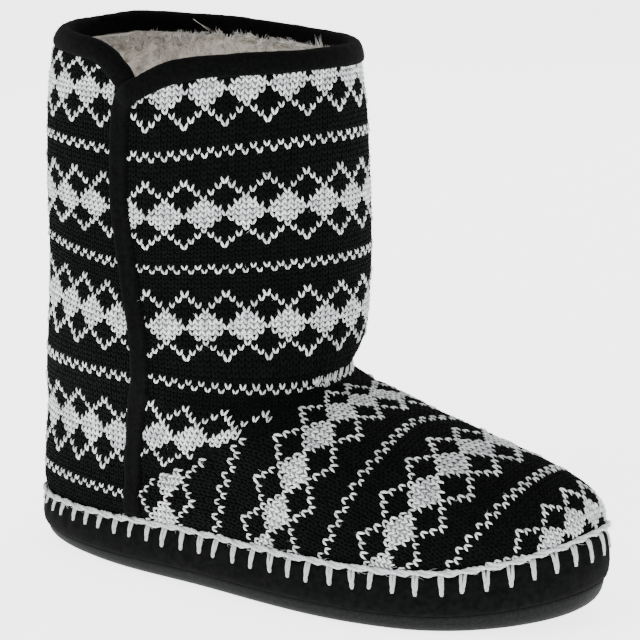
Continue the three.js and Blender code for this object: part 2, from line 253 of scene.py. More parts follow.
def creases(x, y, z):
    """Height of the soft folds at a point, in millimetres along the surface's normal."""
    near_seam = (x > SEAM_TROUGH["starts"]) & (x < SEAM_TROUGH["ends"])
    seam = np.where(near_seam, np.exp(-((above_vamp_seam(x, z) / SEAM_TROUGH["reach"]) ** 2)), 0)
    from_instep = z - INSTEP_FOLD["z"] - INSTEP_FOLD["rise"] * (VAMP_SEAM_END - x)
    instep = np.exp(-((from_instep / INSTEP_FOLD["reach"]) ** 2)) * smooth((x - INSTEP_FOLD["starts"]) / FADE)
    bulge = np.exp(-(((z - INSTEP_BULGE["z"]) / INSTEP_BULGE["reach"]) ** 2))
    bulge = bulge * smooth((x - INSTEP_BULGE["starts"]) / FADE)
    from_heel_fold = z - HEEL_FOLD["z"] - HEEL_FOLD["rise"] * x
    heel_fold = np.exp(-((from_heel_fold / HEEL_FOLD["reach"]) ** 2))
    heel_fold = heel_fold * smooth((HEEL_FOLD["ends"] - x) / HEEL_FOLD["fades"])
    waves = np.sin(z / WAVES["up"] + 0.021 * x + 0.9) * np.sin(x / WAVES["forward"] + y / WAVES["across"])
    waves = waves * smooth((z - WAVES["starts"]) / 30)
    sunken = -SEAM_TROUGH["depth"] * seam - INSTEP_FOLD["depth"] * instep
    return sunken + INSTEP_BULGE["height"] * bulge - HEEL_FOLD["depth"] * heel_fold + WAVES["height"] * waves


def lap(x, y, h):
    """How far the front panel stands proud of the back one where it laps over it."""
    ahead = x - seam_at(h)
    above = smooth((h - SOLE_HEIGHT) / LAP["foot"])
    fading = 1 - smooth((ahead - LAP["level"]) / LAP["fades"])
    return np.where(y < 0, above * LAP["step"] * smooth(ahead / LAP["edge"]) * fading, 0)


def boot_grid():
    """The points of the surface and its normals: creased along the normals, then bent with the sole."""
    flat = np.array([np.c_[ring(level_at(h), h, SIDE_COLUMNS), np.full(ROUND, h)] for h in HEIGHTS])
    x, y, h = flat[..., 0], flat[..., 1], flat[..., 2]
    flat = flat + normals_of(flat) * (lap(x, y, h) + creases(x, y, h))[..., None]
    flat[..., 2] += lift(flat[..., 0], h)
    return flat, normals_of(flat)


BOOT, OUTWARD = boot_grid()
print("surface grid:", BOOT.shape[0], "rows of", ROUND, "columns")


def on_boot(h, column, out=0.0):
    """Points of the surface at nominal height h and a column, moved out along its normal."""
    row = np.clip(np.interp(h, HEIGHTS, np.arange(len(HEIGHTS))), 0, len(HEIGHTS) - 1.001)
    r = row.astype(int)
    c = np.floor(column).astype(int)
    u, v = (row - r)[..., None], (column - c)[..., None]
    c0, c1 = c % ROUND, (c + 1) % ROUND

    def blend(grid):
        low = grid[r, c0] * (1 - v) + grid[r, c1] * v
        high = grid[r + 1, c0] * (1 - v) + grid[r + 1, c1] * v
        return low * (1 - u) + high * u

    normal = blend(OUTWARD)
    normal = normal / np.linalg.norm(normal, axis=-1, keepdims=True)
    return blend(BOOT) + normal * np.asarray(out)[..., None], normal


def side_line(row, side):
    """x along one row of the grid from the heel forward, on one side of the foot."""
    return BOOT[row, : SIDE_COLUMNS + 1, 0] if side < 0 else BOOT[row, -SIDE_COLUMNS:, 0][::-1]


def column_at(x, h, side):
    """The columns where the surface passes x at nominal height h, on one side of the foot."""
    x, h = np.broadcast_arrays(np.asarray(x, float), np.asarray(h, float))
    found = np.empty(x.shape)
    for k in np.ndindex(x.shape):
        row = np.interp(h[k], HEIGHTS, np.arange(len(HEIGHTS)))
        r = min(int(row), len(HEIGHTS) - 2)
        line = side_line(r, side)
        line = line + (row - r) * (side_line(r + 1, side) - line)
        steps = np.arange(len(line)) if side < 0 else ROUND - 1 - np.arange(len(line))
        line = np.maximum.accumulate(line)
        found[k] = np.interp(x[k], line, steps)
    return found


def nominal(x, z):
    """The nominal height of a point at real height z."""
    h = np.asarray(z, float) - lift(x, z)
    for _ in range(4):
        h = z - lift(x, h)
    return h


front_point = on_boot(np.array([220.0]), np.array([float(SIDE_COLUMNS)]))[0][0]
print("front of the shaft near the collar, mm:", np.round(front_point, 1))

# %% [markdown]
# Two ways of making a mesh serve the whole boot. A loft starts from a circle primitive and extrudes it
# ring by ring in edit mode, which suits the sole, the wall and the tape. Thousands of stitches and hairs
# would be slow that way, so they are worked out as arrays and joined into one mesh.

# %% Helpers that make meshes
def select_nothing():
    """Back to object mode with nothing selected, because an operator acts on all that is selected."""
    if bpy.context.object and bpy.context.object.mode != "OBJECT":
        bpy.ops.object.mode_set(mode="OBJECT")
    bpy.ops.object.select_all(action="DESELECT")


def loft(name, rings, closed=False):
    """A tube through rings of points, extruded in edit mode. Its ends are faces, or meet if it is closed."""
    select_nothing()
    size = len(rings[0])
    bpy.ops.mesh.primitive_circle_add(vertices=size, radius=0.1, fill_type="NOTHING")
    piece = bpy.context.object
    piece.name = piece.data.name = name
    bpy.ops.object.mode_set(mode="EDIT")
    bpy.ops.mesh.select_all(action="SELECT")
    work = bmesh.from_edit_mesh(piece.data)
    place = work.verts.layers.int.new("place")
    for i, vertex in enumerate(work.verts):
        vertex[place] = i

    def shape(ring):
        for vertex in work.verts:
            if vertex.select:
                vertex.co = ring[vertex[place]]

    rings = [to_frame(ring) for ring in rings]
    shape(rings[0])
    if not closed:
        bpy.ops.mesh.edge_face_add()
        for face in work.faces:
            face.select = False
        for edge in work.edges:
            edge.select = len(edge.link_faces) == 1
    for ring in rings[1:]:
        bpy.ops.mesh.extrude_region_move()
        work = bmesh.from_edit_mesh(piece.data)
        place = work.verts.layers.int["place"]
        shape(ring)
    if closed:
        for edge in work.edges:
            edge.select = len(edge.link_faces) == 1
        bpy.ops.mesh.bridge_edge_loops()
    else:
        bpy.ops.mesh.edge_face_add()
    bpy.ops.mesh.select_all(action="SELECT")
    bpy.ops.mesh.normals_make_consistent(inside=False)
    bpy.ops.object.mode_set(mode="OBJECT")
    bpy.ops.object.shade_smooth()
    return piece


def joined_mesh(name, points, faces, tint):
    """One smooth mesh from arrays: points in millimetres, faces of one size and a tint for each point."""
    mesh = bpy.data.meshes.new(name)
    count, corners = faces.shape
    mesh.vertices.add(len(points))
    mesh.vertices.foreach_set("co", to_frame(points).ravel())
    mesh.loops.add(faces.size)
    mesh.loops.foreach_set("vertex_index", faces.ravel().astype(np.int32))
    mesh.polygons.add(count)
    mesh.polygons.foreach_set("loop_start", np.arange(0, faces.size, corners, dtype=np.int32))
    mesh.polygons.foreach_set("use_smooth", np.ones(count, bool))
    mesh.update(calc_edges=True)
    mesh.attributes.new("tint", "FLOAT", "POINT").data.foreach_set("value", tint.astype(np.float32))
    piece = bpy.data.objects.new(name, mesh)
    bpy.context.scene.collection.objects.link(piece)
    return piece


TRIANGLES = {}


def finish_piece(piece, material, slot, *nodes):
    """Gives a piece its finish, makes it ride on the boot and hides the solids that it stands for."""
    piece.data.materials.clear()
    piece.data.materials.append(material)
    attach(piece, "root")
    if nodes:
        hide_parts(*nodes)
    TRIANGLES[piece.name] = sum(len(face.vertices) - 2 for face in piece.data.polygons)
    print(piece.name, "has", TRIANGLES[piece.name], "triangles")


def plain_piece(name, strands, tint, material, slot):
    """Hairs or yarns of one even tint as a finished piece. strands starts with their points and faces."""
    points, faces = strands[:2]
    finish_piece(joined_mesh(name, points, faces, np.full(len(points), tint)), material, slot)


# %% [markdown]
# The camera stands where the photographer stood: a little above the boot, turned 34 degrees from its outer
# side towards the toe, with a long lens. Its place is a distance and two angles from a point in the boot,
# fitted until the outline of the boot in the picture lay on that in the photograph.

# %% Camera
VIEW = {"azimuth": 34.0, "elevation": 12.52, "roll": 0.39, "distance": 1000.0}
AIM = np.array([110.0, 0.0, 110.0])  # a point in the boot, which shows at AIM_PIXEL
AIM_PIXEL = (264.6, 310.8)
IMAGE = 640  # pixels along a side of the picture
FOCAL_PIXELS = 2402
SENSOR = 36.0


def place_camera():
    """Adds the camera at its place and turn, with the lens that FOCAL_PIXELS asks for."""
    azimuth, elevation, roll = (math.radians(VIEW[key]) for key in ("azimuth", "elevation", "roll"))
    back = np.array([
        math.sin(azimuth) * math.cos(elevation),
        -math.cos(azimuth) * math.cos(elevation),
        math.sin(elevation),
    ])
    level_right = np.cross([0, 0, 1], back)
    level_right /= np.linalg.norm(level_right)
    level_up = np.cross(back, level_right)
    right = level_right * math.cos(roll) + level_up * math.sin(roll)
    up = level_up * math.cos(roll) - level_right * math.sin(roll)
    scale = VIEW["distance"] / FOCAL_PIXELS
    across = (AIM_PIXEL[0] - IMAGE / 2) * scale
    above = (IMAGE / 2 - AIM_PIXEL[1]) * scale
    eye = to_frame(AIM - across * right - above * up + VIEW["distance"] * back)
    data = bpy.data.cameras.new("camera")
    data.sensor_width = SENSOR
    data.lens = FOCAL_PIXELS * SENSOR / IMAGE
    data.clip_start, data.clip_end = 0.01, 50
    camera = bpy.data.objects.new("camera", data)
    bpy.context.scene.collection.objects.link(camera)
    turn = Matrix([[right[i], up[i], back[i]] for i in range(3)])
    camera.matrix_world = Matrix.Translation(eye) @ turn.to_4x4()
    bpy.context.scene.camera = camera
    return camera


camera = place_camera()
print("lens, mm:", round(camera.data.lens, 1), "at", [round(v, 3) for v in camera.location])

# %% [markdown]
# The photograph was taken in a white tent, so the light is soft and comes from all round: a pale floor that
# glows a little, a pale world and three large area lights. The key light stands high on the camera's left.

# %% Floor and light
FLOOR_SIZE = 14.0
FLOOR = {"tone": 0.88, "roughness": 0.9, "shine": 0.1, "glow": 3.2}
WORLD_LIGHT = 1.0
LIGHTS = [  # name, place, size and power in watts
    ("key", (-0.55, -1.5, 1.35), 1.1, 16.0),
    ("fill", (1.6, -0.9, 0.9), 1.3, 9.0),
    ("back", (-0.2, 1.5, 1.3), 1.2, 9.0),
]


def new_material(name):
    """A material with its node tree and its shader."""
    made = bpy.data.materials.new(name)
    made.use_nodes = True
    return made, made.node_tree, made.node_tree.nodes["Principled BSDF"]


def add_node(tree, kind, values=None, **settings):
    """A node with its sockets' values and its settings."""
    made = tree.nodes.new("ShaderNode" + kind)
    for key, value in settings.items():
        setattr(made, key, value)
    for key, value in (values or {}).items():
        made.inputs[key].default_value = value
    return made


def make_stage():
    """The floor under the boot, the pale world round it and the three lamps, each turned to the boot."""
    select_nothing()
    bpy.ops.mesh.primitive_plane_add(size=FLOOR_SIZE, location=(0, 0, 0))
    floor = bpy.context.object
    floor.name = "floor"
    pale, _tree, shader = new_material("pale floor")
    shader.inputs["Base Color"].default_value = (FLOOR["tone"], FLOOR["tone"], FLOOR["tone"], 1)
    shader.inputs["Roughness"].default_value = FLOOR["roughness"]
    shader.inputs["Specular IOR Level"].default_value = FLOOR["shine"]
    shader.inputs["Emission Color"].default_value = (1, 1, 1, 1)
    shader.inputs["Emission Strength"].default_value = FLOOR["glow"]
    floor.data.materials.append(pale)
    world = bpy.data.worlds.new("white tent")
    world.use_nodes = True
    background = world.node_tree.nodes["Background"]
    background.inputs["Color"].default_value = (1, 1, 1, 1)
    background.inputs["Strength"].default_value = WORLD_LIGHT
    bpy.context.scene.world = world
    for name, place, size, power in LIGHTS:
        data = bpy.data.lights.new(name, "AREA")
        data.shape, data.size, data.energy = "DISK", size, power
        lamp = bpy.data.objects.new(name, data)
        lamp.location = place
        lamp.rotation_mode = "QUATERNION"
        lamp.rotation_quaternion = (Vector((0, 0, 0.1)) - Vector(place)).to_track_quat("-Z", "Y")
        bpy.context.scene.collection.objects.link(lamp)


make_stage()
print("lights:", [row[0] for row in LIGHTS])

# %% [markdown]
# Six finishes cover the boot: soft acrylic yarn in black and in white, a brushed microsuede for the tape and
# a paler one for the wrap of the sole, moulded rubber, and cream fleece. Each one mixes two tones with a fine
# noise, because no real cloth is a single colour, and gets its small relief from bumps of their own scale.
# Yarn and fleece also read a tint from each point, so that no two stitches and no two hairs are alike.

# %% Finishes
GRAIN_DETAIL = 3.0
RAMP = {True: (0.25, 0.95), False: (0.3, 0.7)}  # where the tones start and end, with a tint and without
TREAD = {"ribs": 70.0, "waver": 3.0, "depth": 1.2, "fades": (-0.8, -0.95)}


def grain(tree, coordinates, size):
    """Noise whose grains are about `size` millimetres."""
    noise = add_node(tree, "TexNoise", {"Scale": 1000 / size, "Detail": GRAIN_DETAIL})
    tree.links.new(coordinates, noise.inputs["Vector"])
    return noise.outputs["Fac"]


def two_tones(tree, factor, dark, light, low, high):
    """A colour that goes from dark to light while the factor goes from low to high."""
    ramp = add_node(tree, "ValToRGB")
    ramp.color_ramp.elements[0].position, ramp.color_ramp.elements[0].color = low, (*dark, 1)
    ramp.color_ramp.elements[1].position, ramp.color_ramp.elements[1].color = high, (*light, 1)
    tree.links.new(factor, ramp.inputs["Fac"])
    return ramp.outputs["Color"]


def relief(tree, shader, heights):
    """Bump nodes in a chain: (height, strength, depth in millimetres) for each scale of relief."""
    last = None
    for height, strength, depth in heights:
        bump = add_node(tree, "Bump", {"Strength": strength, "Distance": depth * MM})
        tree.links.new(height, bump.inputs["Height"])
        if last:
            tree.links.new(last, bump.inputs["Normal"])
        last = bump.outputs["Normal"]
    tree.links.new(last, shader.inputs["Normal"])


def tread_relief(made):
    """Small ribs under the outsole, faded out where its face no longer looks down."""
    tree = made.node_tree
    shader = tree.nodes["Principled BSDF"]
    place = add_node(tree, "TexCoord").outputs["Object"]
    values = {"Scale": TREAD["ribs"], "Distortion": TREAD["waver"], "Detail": 0.0}
    ribs = add_node(tree, "TexWave", values, wave_profile="TRI")
    tree.links.new(place, ribs.inputs["Vector"])
    facing = add_node(tree, "SeparateXYZ")
    tree.links.new(add_node(tree, "NewGeometry").outputs["Normal"], facing.inputs[0])
    under = add_node(tree, "MapRange", {1: TREAD["fades"][0], 2: TREAD["fades"][1], 3: 0.0, 4: 1.0})
    tree.links.new(facing.outputs["Z"], under.inputs[0])
    height = add_node(tree, "Math", operation="MULTIPLY")
    tree.links.new(ribs.outputs["Fac"], height.inputs[0])
    tree.links.new(under.outputs[0], height.inputs[1])
    bump = add_node(tree, "Bump", {"Strength": 1.0, "Distance": TREAD["depth"] * MM})
    tree.links.new(height.outputs[0], bump.inputs["Height"])
    last = shader.inputs["Normal"].links[0].from_socket
    tree.links.new(last, bump.inputs["Normal"])
    tree.links.new(bump.outputs["Normal"], shader.inputs["Normal"])


def cloth(name, dark, light, roughness, sheen, tones, bumps, tinted=False, shine=0.02):
    """A cloth of two tones. tones is the grain of its colour and bumps the grains of its relief."""
    made, tree, shader = new_material(name)
    place = add_node(tree, "TexCoord").outputs["Object"]
    factor = grain(tree, place, tones)
    if tinted:
        tint = add_node(tree, "Attribute", attribute_name="tint").outputs["Fac"]
        mixed = add_node(tree, "Math", {1: 0.55}, operation="MULTIPLY")
        tree.links.new(factor, mixed.inputs[0])
        both = add_node(tree, "Math", operation="ADD")
        tree.links.new(mixed.outputs[0], both.inputs[0])
        tree.links.new(tint, both.inputs[1])
        factor = both.outputs[0]
    tree.links.new(two_tones(tree, factor, dark, light, *RAMP[tinted]), shader.inputs["Base Color"])
    shader.inputs["Roughness"].default_value = roughness
    shader.inputs["Specular IOR Level"].default_value = shine
    shader.inputs["Sheen Weight"].default_value = sheen
    shader.inputs["Sheen Roughness"].default_value = 0.5
    relief(tree, shader, [(grain(tree, place, size), strength, depth) for size, strength, depth in bumps])
    return made


BLACK_YARN = cloth(
    "black yarn", (0.0018, 0.0021, 0.0020), (0.0037, 0.0041, 0.0040), 0.95, 0.006, 6.0,
    [(0.45, 0.5, 0.2)], tinted=True,
)
WHITE_YARN = cloth(
    "white yarn", (0.40, 0.41, 0.42), (0.94, 0.95, 0.96), 0.9, 0.15, 0.8,
    [(0.45, 0.9, 0.4)], tinted=True,
)
MICROSUEDE = cloth(
    "black microsuede", (0.0008, 0.0010, 0.0009), (0.0026, 0.0029, 0.0027), 0.92, 0.010, 1.6,
    [(0.35, 0.7, 0.25), (5.0, 0.5, 0.5)],
)
WRAP = cloth(
    "charcoal microsuede wrap", (0.0016, 0.0019, 0.0017), (0.0046, 0.0051, 0.0048), 0.9, 0.008, 2.2,
    [(0.35, 0.7, 0.25), (7.0, 0.5, 0.6)],
)
FLEECE = cloth(
    "cream fleece", (0.80, 0.75, 0.67), (0.97, 0.95, 0.91), 1.0, 0.3, 3.0,
    [(0.8, 0.6, 0.4), (2.6, 0.7, 1.0)], tinted=True,
)
RUBBER = cloth(
    "charcoal rubber", (0.0044, 0.0049, 0.0047), (0.0098, 0.0107, 0.0102), 0.62, 0.0, 1.2,
    [(0.6, 0.5, 0.25), (12.0, 0.3, 0.4)], shine=0.04,
)
tread_relief(RUBBER)
print("finishes:", [made.name for made in bpy.data.materials])

# %% [markdown]
# The sole is two slabs cut to one plan. The outsole is moulded rubber with a rounded lower edge, set in a
# little. The platform is a foam midsole wrapped in microsuede, which bulges and is pulled in at each stitch.
# Both are lofts of the same plan, drawn in by a table of insets as the height grows.

# %% Outline of the sole and its feather line
PLAN_COLUMNS = 240
PLAN = ring(SOLE_PLAN, 0, PLAN_COLUMNS)
STITCH_STEP = 9.2


def outward_of(plan):
    """Unit vectors that point out of a closed outline at each of its points."""
    along = np.roll(plan, -1, 0) - np.roll(plan, 1, 0)
    along /= np.linalg.norm(along, axis=1, keepdims=True)
    return np.stack([along[:, 1], -along[:, 0]], 1)


def sole_rings(side, dents=None):
    """Rings of a slab. side is a table of (height, inset) and dents draws single columns in further."""
    rings = []
    out = outward_of(PLAN)
    for height, inset in side:
        drawn = inset + (dents(height) if dents else 0)
        flat = PLAN - out * (np.zeros(len(PLAN)) + drawn)[:, None]
        rings.append(np.c_[flat, height + lift(flat[:, 0], np.full(len(flat), float(height)))])
    return rings


PLAN_RUN = np.r_[0, np.cumsum(np.linalg.norm(np.diff(np.vstack([PLAN, PLAN[:1]]), axis=0), axis=1))]
STITCHES = round(PLAN_RUN[-1] / STITCH_STEP)
print("way round the sole, mm:", round(PLAN_RUN[-1], 1), "with", STITCHES, "stitches")


# %% Outsole
OUTSOLE_SIDE = [
    (0, 9.5), (0.35, 7.7), (0.9, 6.3), (1.8, 4.9), (3.0, 3.7), (4.4, 2.8), (6.2, 2.2), (7.6, 1.9),
    (OUTSOLE_HEIGHT, 2.4),
]
outsole = loft("rubber_outsole", sole_rings(OUTSOLE_SIDE))
finish_piece(outsole, RUBBER, "rubber", "outsole")


# %% Platform
WRAP_SIDE = [
    (OUTSOLE_HEIGHT + 0.05, 1.75), (8.7, 0.95), (10.2, 0.3), (13.5, -0.1), (16, 0.0), (18.5, 0.25),
    (20.5, 0.6), (22.5, 1.2), (24, 2.0), (24.9, 3.2), (SOLE_HEIGHT + 0.3, 5.5),
]
DENT = {"depth": 0.7, "half": 2.2, "starts": 13, "grows": 5, "ends": 25.5, "fades": 2}


def stitch_dents(height):
    """The wrap is pulled in under each vertical stitch."""
    run = PLAN_RUN[:-1]
    step = PLAN_RUN[-1] / STITCHES
    from_stitch = np.abs((run / step + 0.5) % 1 - 0.5) * step
    growing = smooth((height - DENT["starts"]) / DENT["grows"])
    depth = DENT["depth"] * growing * smooth((DENT["ends"] - height) / DENT["fades"])
    return depth * np.exp(-((from_stitch / DENT["half"]) ** 2))


platform = loft("platform_wrap", sole_rings(WRAP_SIDE, stitch_dents))
finish_piece(platform, WRAP, "suede", "platform")

# %% [markdown]
# The upper is one soft wall: a dark knitted ground outside, backed with cloth. Its rim follows the three
# panels that the photograph shows: the back panel dips to a notch on the outer side, the front panel laps
# over it with a rounded corner, and the inner side runs straight across. The three edges are short tables
# of points, measured on the photograph through the camera and eased.

# %% The rim of the upper
CORNER_STARTS = 187.0
FRONT_EDGE_X = [74.0, 75.0, 77.6, 81.8, 86.5, 92, 98, 104, 110, 118, 128, 148]
FRONT_EDGE_Z = [CORNER_STARTS, 197, 203.6, 207.6, 210.9, 214.3, 217, 218.9, 220.2, 221.2, 222.0, COLLAR_FRONT]
BACK_EDGE_X = [20, 25, 30, 38, 50, 58, 65, 72, 79, 84.5, 90]
BACK_EDGE_Z = [227.6, 227.0, 226.6, 226.1, 225.7, 225.2, 224.2, 221.5, 216.2, 210.4, 203]
INNER_EDGE_X = [20, 23, 26, 30, 37, 45, 55, 70, 85, 100, 150]
INNER_EDGE_Z = [227.6, 229.0, 228.9, 228.3, 227.6, 226.9, 226.3, 225.2, 224.2, 223.3, COLLAR_FRONT]


def edge_curve():
    """Points along the edge of the front panel, from the side seam round the corner to the front."""
    x, z = np.array(FRONT_EDGE_X), np.array(FRONT_EDGE_Z)
    run = np.r_[0, np.cumsum(np.hypot(np.diff(x), np.diff(z)))]
    even = np.linspace(0, run[-1], 240)
    return curve_through(run, x)(even), curve_through(run, z)(even)


EDGE_X, EDGE_Z = edge_curve()
back_rim = curve_through(BACK_EDGE_X, BACK_EDGE_Z)
inner_rim = curve_through(INNER_EDGE_X, INNER_EDGE_Z)


def front_rim(x):
    """Rim of the front panel on the outer side, over its rounded corner."""
    return np.interp(x, EDGE_X, EDGE_Z)


def rim_at(x, column):
    """Real height of the rim: the higher of the two panels on the outer side, one line on the inner."""
    front = np.where(x > FRONT_EDGE_X[0], front_rim(x), 0)
    outer = np.maximum(front, np.where(x < BACK_EDGE_X[-1], back_rim(x), 0))
    return np.where(column < SIDE_COLUMNS, outer, inner_rim(x))


def rim_heights(columns, below=0.0):
    """Nominal height of the rim at each column."""
    h = np.full(len(columns), float(COLLAR_BACK))
    for _ in range(12):
        points, _out = on_boot(h, columns)
        h = h + (rim_at(points[:, 0], columns) - below - points[:, 2]) * 0.8
    return h


# %% The wall of the upper
WALL_COLUMNS = 200
INNER_FACE = -WALL + 0.4
GROUND = -0.62  # the knitted ground lies this far inside the boot's form, under the loops of the stitches
wall_columns = np.arange(WALL_COLUMNS) * ROUND / WALL_COLUMNS
wall_rim = rim_heights(wall_columns, below=1.0)


def wall_rings():
    """The wall as rows from the feather line to the rim outside, and back down inside."""
    rings = []
    outside = np.r_[np.linspace(0, 0.35, 32), np.linspace(0.36, 1, 40)]
    for shares, out in ((outside, GROUND), (outside[::-1][::2], INNER_FACE)):
        for share in shares:
            h = SOLE_HEIGHT + (wall_rim - SOLE_HEIGHT) * share
            rings.append(on_boot(h, wall_columns, np.full(WALL_COLUMNS, out))[0])
    return rings


upper = loft("knit_ground", wall_rings(), closed=True)
finish_piece(upper, BLACK_YARN, "knit", "upper")

# %% [markdown]
# The knit is stocking stitch in two colours. Each stitch shows as a V: two short legs of yarn that meet at
# the bottom and tuck under the stitch above. A picture of knit would look flat from the side, so every
# stitch here is real: its place is where a course of the knitting meets a wale on the boot's surface.
# The pattern is a repeat of six wales and 23 courses, given in a chart: a diamond, its zigzag outline and a
# dotted row above and below.

# %% The chart of the pattern
BAND_COURSES = 23
HALF_BAND = BAND_COURSES // 2
REPEAT = 6
PEAK = 6  # the course of an outline's points, counted from the middle of the diamond
LIGHT_REACH = {0: (0, 3), 1: (0, 2), 2: (0, 1), 3: (0, 0), 4: (1, 1), 5: (2, 2), 6: (3, 3)}


def in_band(course, wale):
    """The course counted from the middle of its band and the wale from the middle of its diamond."""
    return (course + HALF_BAND) % BAND_COURSES - HALF_BAND, abs((wale + REPEAT // 2) % REPEAT - REPEAT // 2)


def chart(course, wale):
    """Whether a stitch is white. A diamond's centre is at course 0 and wale 0 of every repeat."""
    r, c = in_band(course, wale)
    if abs(r) == HALF_BAND:
        return c % 2 == (1 if r < 0 else 0)
    reach = LIGHT_REACH.get(abs(r))
    return reach is not None and reach[0] <= c <= reach[1]


def is_peak(course, wale):
    """The stitch at the point of each outline, where the yarn is pulled large."""
    r, c = in_band(course, wale)
    return abs(r) == PEAK and c == REPEAT // 2


for r in range(HALF_BAND, -HALF_BAND - 1, -1):
    print("".join("#" if chart(r, c) else "." for c in range(-REPEAT, REPEAT + 1)))

# %% [markdown]
# The courses aren't quite level on a worn-in boot, and the wales wander as the cloth is pulled over the
# form. Short tables say at what height each band lies and how far it rises to the front. They were read off
# the photograph laid flat through the camera, at the middle of each band, at the points of its outline and
# at the dotted rows, and then eased. The surface then has to be met: settle() moves a stitch up or
# down the boot until it stands at the height that its course asks for.

# %% Courses of the front panel
FRONT_COURSES = [11, 6, 0, -6, -11.5, -17, -23, -29, -34.5, -40, -46, -52, -57.5, -63, -69, -75, -80.5, -95]
FRONT_HEIGHTS = [
    226, 217, 204.3, 190.6, 179.6, 168.6, 155.7, 143.4, 134.6,
    124.8, 111.3, 99.0, 89.1, 78.0, 64.2, 52.5, 43, 14,
]
FRONT_RISES = [8, 8, 8, 8, 8, 7, 6.5, 6, 4, 3.3, 3.2, 2.0, -5.5, 0, 5, 6, 4, 4]
FRONT_ANCHOR_X = 99.8  # a diamond's centre on the outer side
FRONT_WALES = 30  # from there to the front of the shaft
FRONT_PITCH = 2.79
RISE_STARTS, RISE_ENDS = 95, 150
INSTEP_TOP = 88  # above this height the courses run on over the front of the shaft
SLANT_STARTS = {"steady": 79, "soft": 95}


def course_values(table_courses, values, courses):
    """Values of a table for each course, as a column. The table runs from the highest course down."""
    return np.interp(courses, table_courses[::-1], values[::-1])[:, None]


def lengths_along(points):
    """Length from the first point of each row of a grid."""
    steps = np.diff(points, axis=1, prepend=points[:, :1])
    return np.cumsum(np.linalg.norm(steps, axis=2), axis=1)


def settle(heights_at, start, columns):
    """Nominal heights at which the surface reaches heights_at(points), sought from the heights in start."""
    h = np.clip(start, SOLE_HEIGHT, TOP - 1)
    for _ in range(10):
        points, _out = on_boot(h, columns)
        h = np.clip(h + (heights_at(points) - points[..., 2]) * 0.9, SOLE_HEIGHT - 3, TOP - 1)
    return h


def front_lattice():
    """Nominal height and column of each stitch of the front panel: a row for each course."""
    courses = np.arange(-93, 12)
    wales = np.arange(-16, 78)
    columns = np.arange(20.0, 381.0)
    level = course_values(FRONT_COURSES, FRONT_HEIGHTS, courses)
    rise = course_values(FRONT_COURSES, FRONT_RISES, courses)
    spread = np.broadcast_to(columns, (len(courses), len(columns)))

    def heights_at(points):
        return level + rise * np.clip((points[..., 0] - RISE_STARTS) / (RISE_ENDS - RISE_STARTS), 0, 1)

    h = settle(heights_at, level + np.zeros(spread.shape), spread)
    points, _out = on_boot(h, spread)
    run = lengths_along(points)
    heights, places = [], []
    for row in range(len(courses)):
        x = points[row, :, 0]
        turn = int(np.argmax(x))
        start = np.interp(FRONT_ANCHOR_X, x[:turn], run[row, :turn])
        end = np.interp(FRONT_ANCHOR_X, x[turn:][::-1], run[row, turn:][::-1])
        z = level[row, 0]
        slant = -0.5 * max(0, SLANT_STARTS["steady"] - z) - 1.0 * smooth((SLANT_STARTS["soft"] - z) / 12)
        if z + rise[row, 0] > INSTEP_TOP:
            knots = [
                (-16, start - 16 * FRONT_PITCH),
                (0, start + 0.5),
                (FRONT_WALES, start + 84),
                (2 * FRONT_WALES, end - 0.5),
                (2 * FRONT_WALES + 18, end + 18 * FRONT_PITCH),
            ]
            at = np.interp(wales, *zip(*knots))
        else:
            outer = start + 0.5 + wales * FRONT_PITCH + slant
            inner = end + (wales - 2 * FRONT_WALES) * FRONT_PITCH - slant
            at = np.where(wales < FRONT_WALES, outer, inner)
        places.append(np.interp(at, run[row], columns))
        heights.append(np.interp(at, run[row], h[row]))
    return courses, wales, np.array(heights), np.array(places)


# %% Courses of the back panel
BACK_COURSES = [8, 6, 0, -6, -11.5, -17, -23, -29, -34.5, -40, -46, -52, -57.5, -63, -69, -75, -80.5, -95]
BACK_HEIGHTS = [
    221, 216, 204.4, 190.8, 180.6, 170.0, 157.6, 146.0, 134.3,
    125, 110.8, 98.2, 87.0, 73.8, 60.2, 44.6, 34.8, 8,
]
BACK_RISES = [0, 0, 0, 0.5, 2, 2, 2, 3, 5.5, 5.5, 6, 2, 0.5, 0.5, 0.5, 0, 0, 0]
BACK_Z = [35, 61, 74, 98, 113, 128, 147, 158, 171, 190, 204, 230]
BACK_WALES = {  # how far round from the heel some wales lie on the outer side, at the heights above
    0: [0, 0, 2, 4, 7, 9, 7, 5, 4, 3, 4, 4],
    12: [35, 36, 39, 46, 54, 58, 54, 49, 45, 42, 44, 44],
    18: [53, 53.5, 56.5, 62.5, 69.3, 73, 71.5, 67.3, 63.5, 60, 61.2, 61],
    24: [70, 70.3, 74.5, 80, 83, 86, 87, 85.1, 81.8, 79, 78, 78],
    30: [87, 87.7, 92.5, 97, 97.3, 99, 100, 100.6, 98.5, 97, 95, 95],
    44: [126, 127, 130, 134, 134, 136, 138, 139, 137, 136, 134, 134],
}
BACK_PITCH = 2.83
BACK_REACH = 150  # the back panel is worked out this many columns to each side of the heel


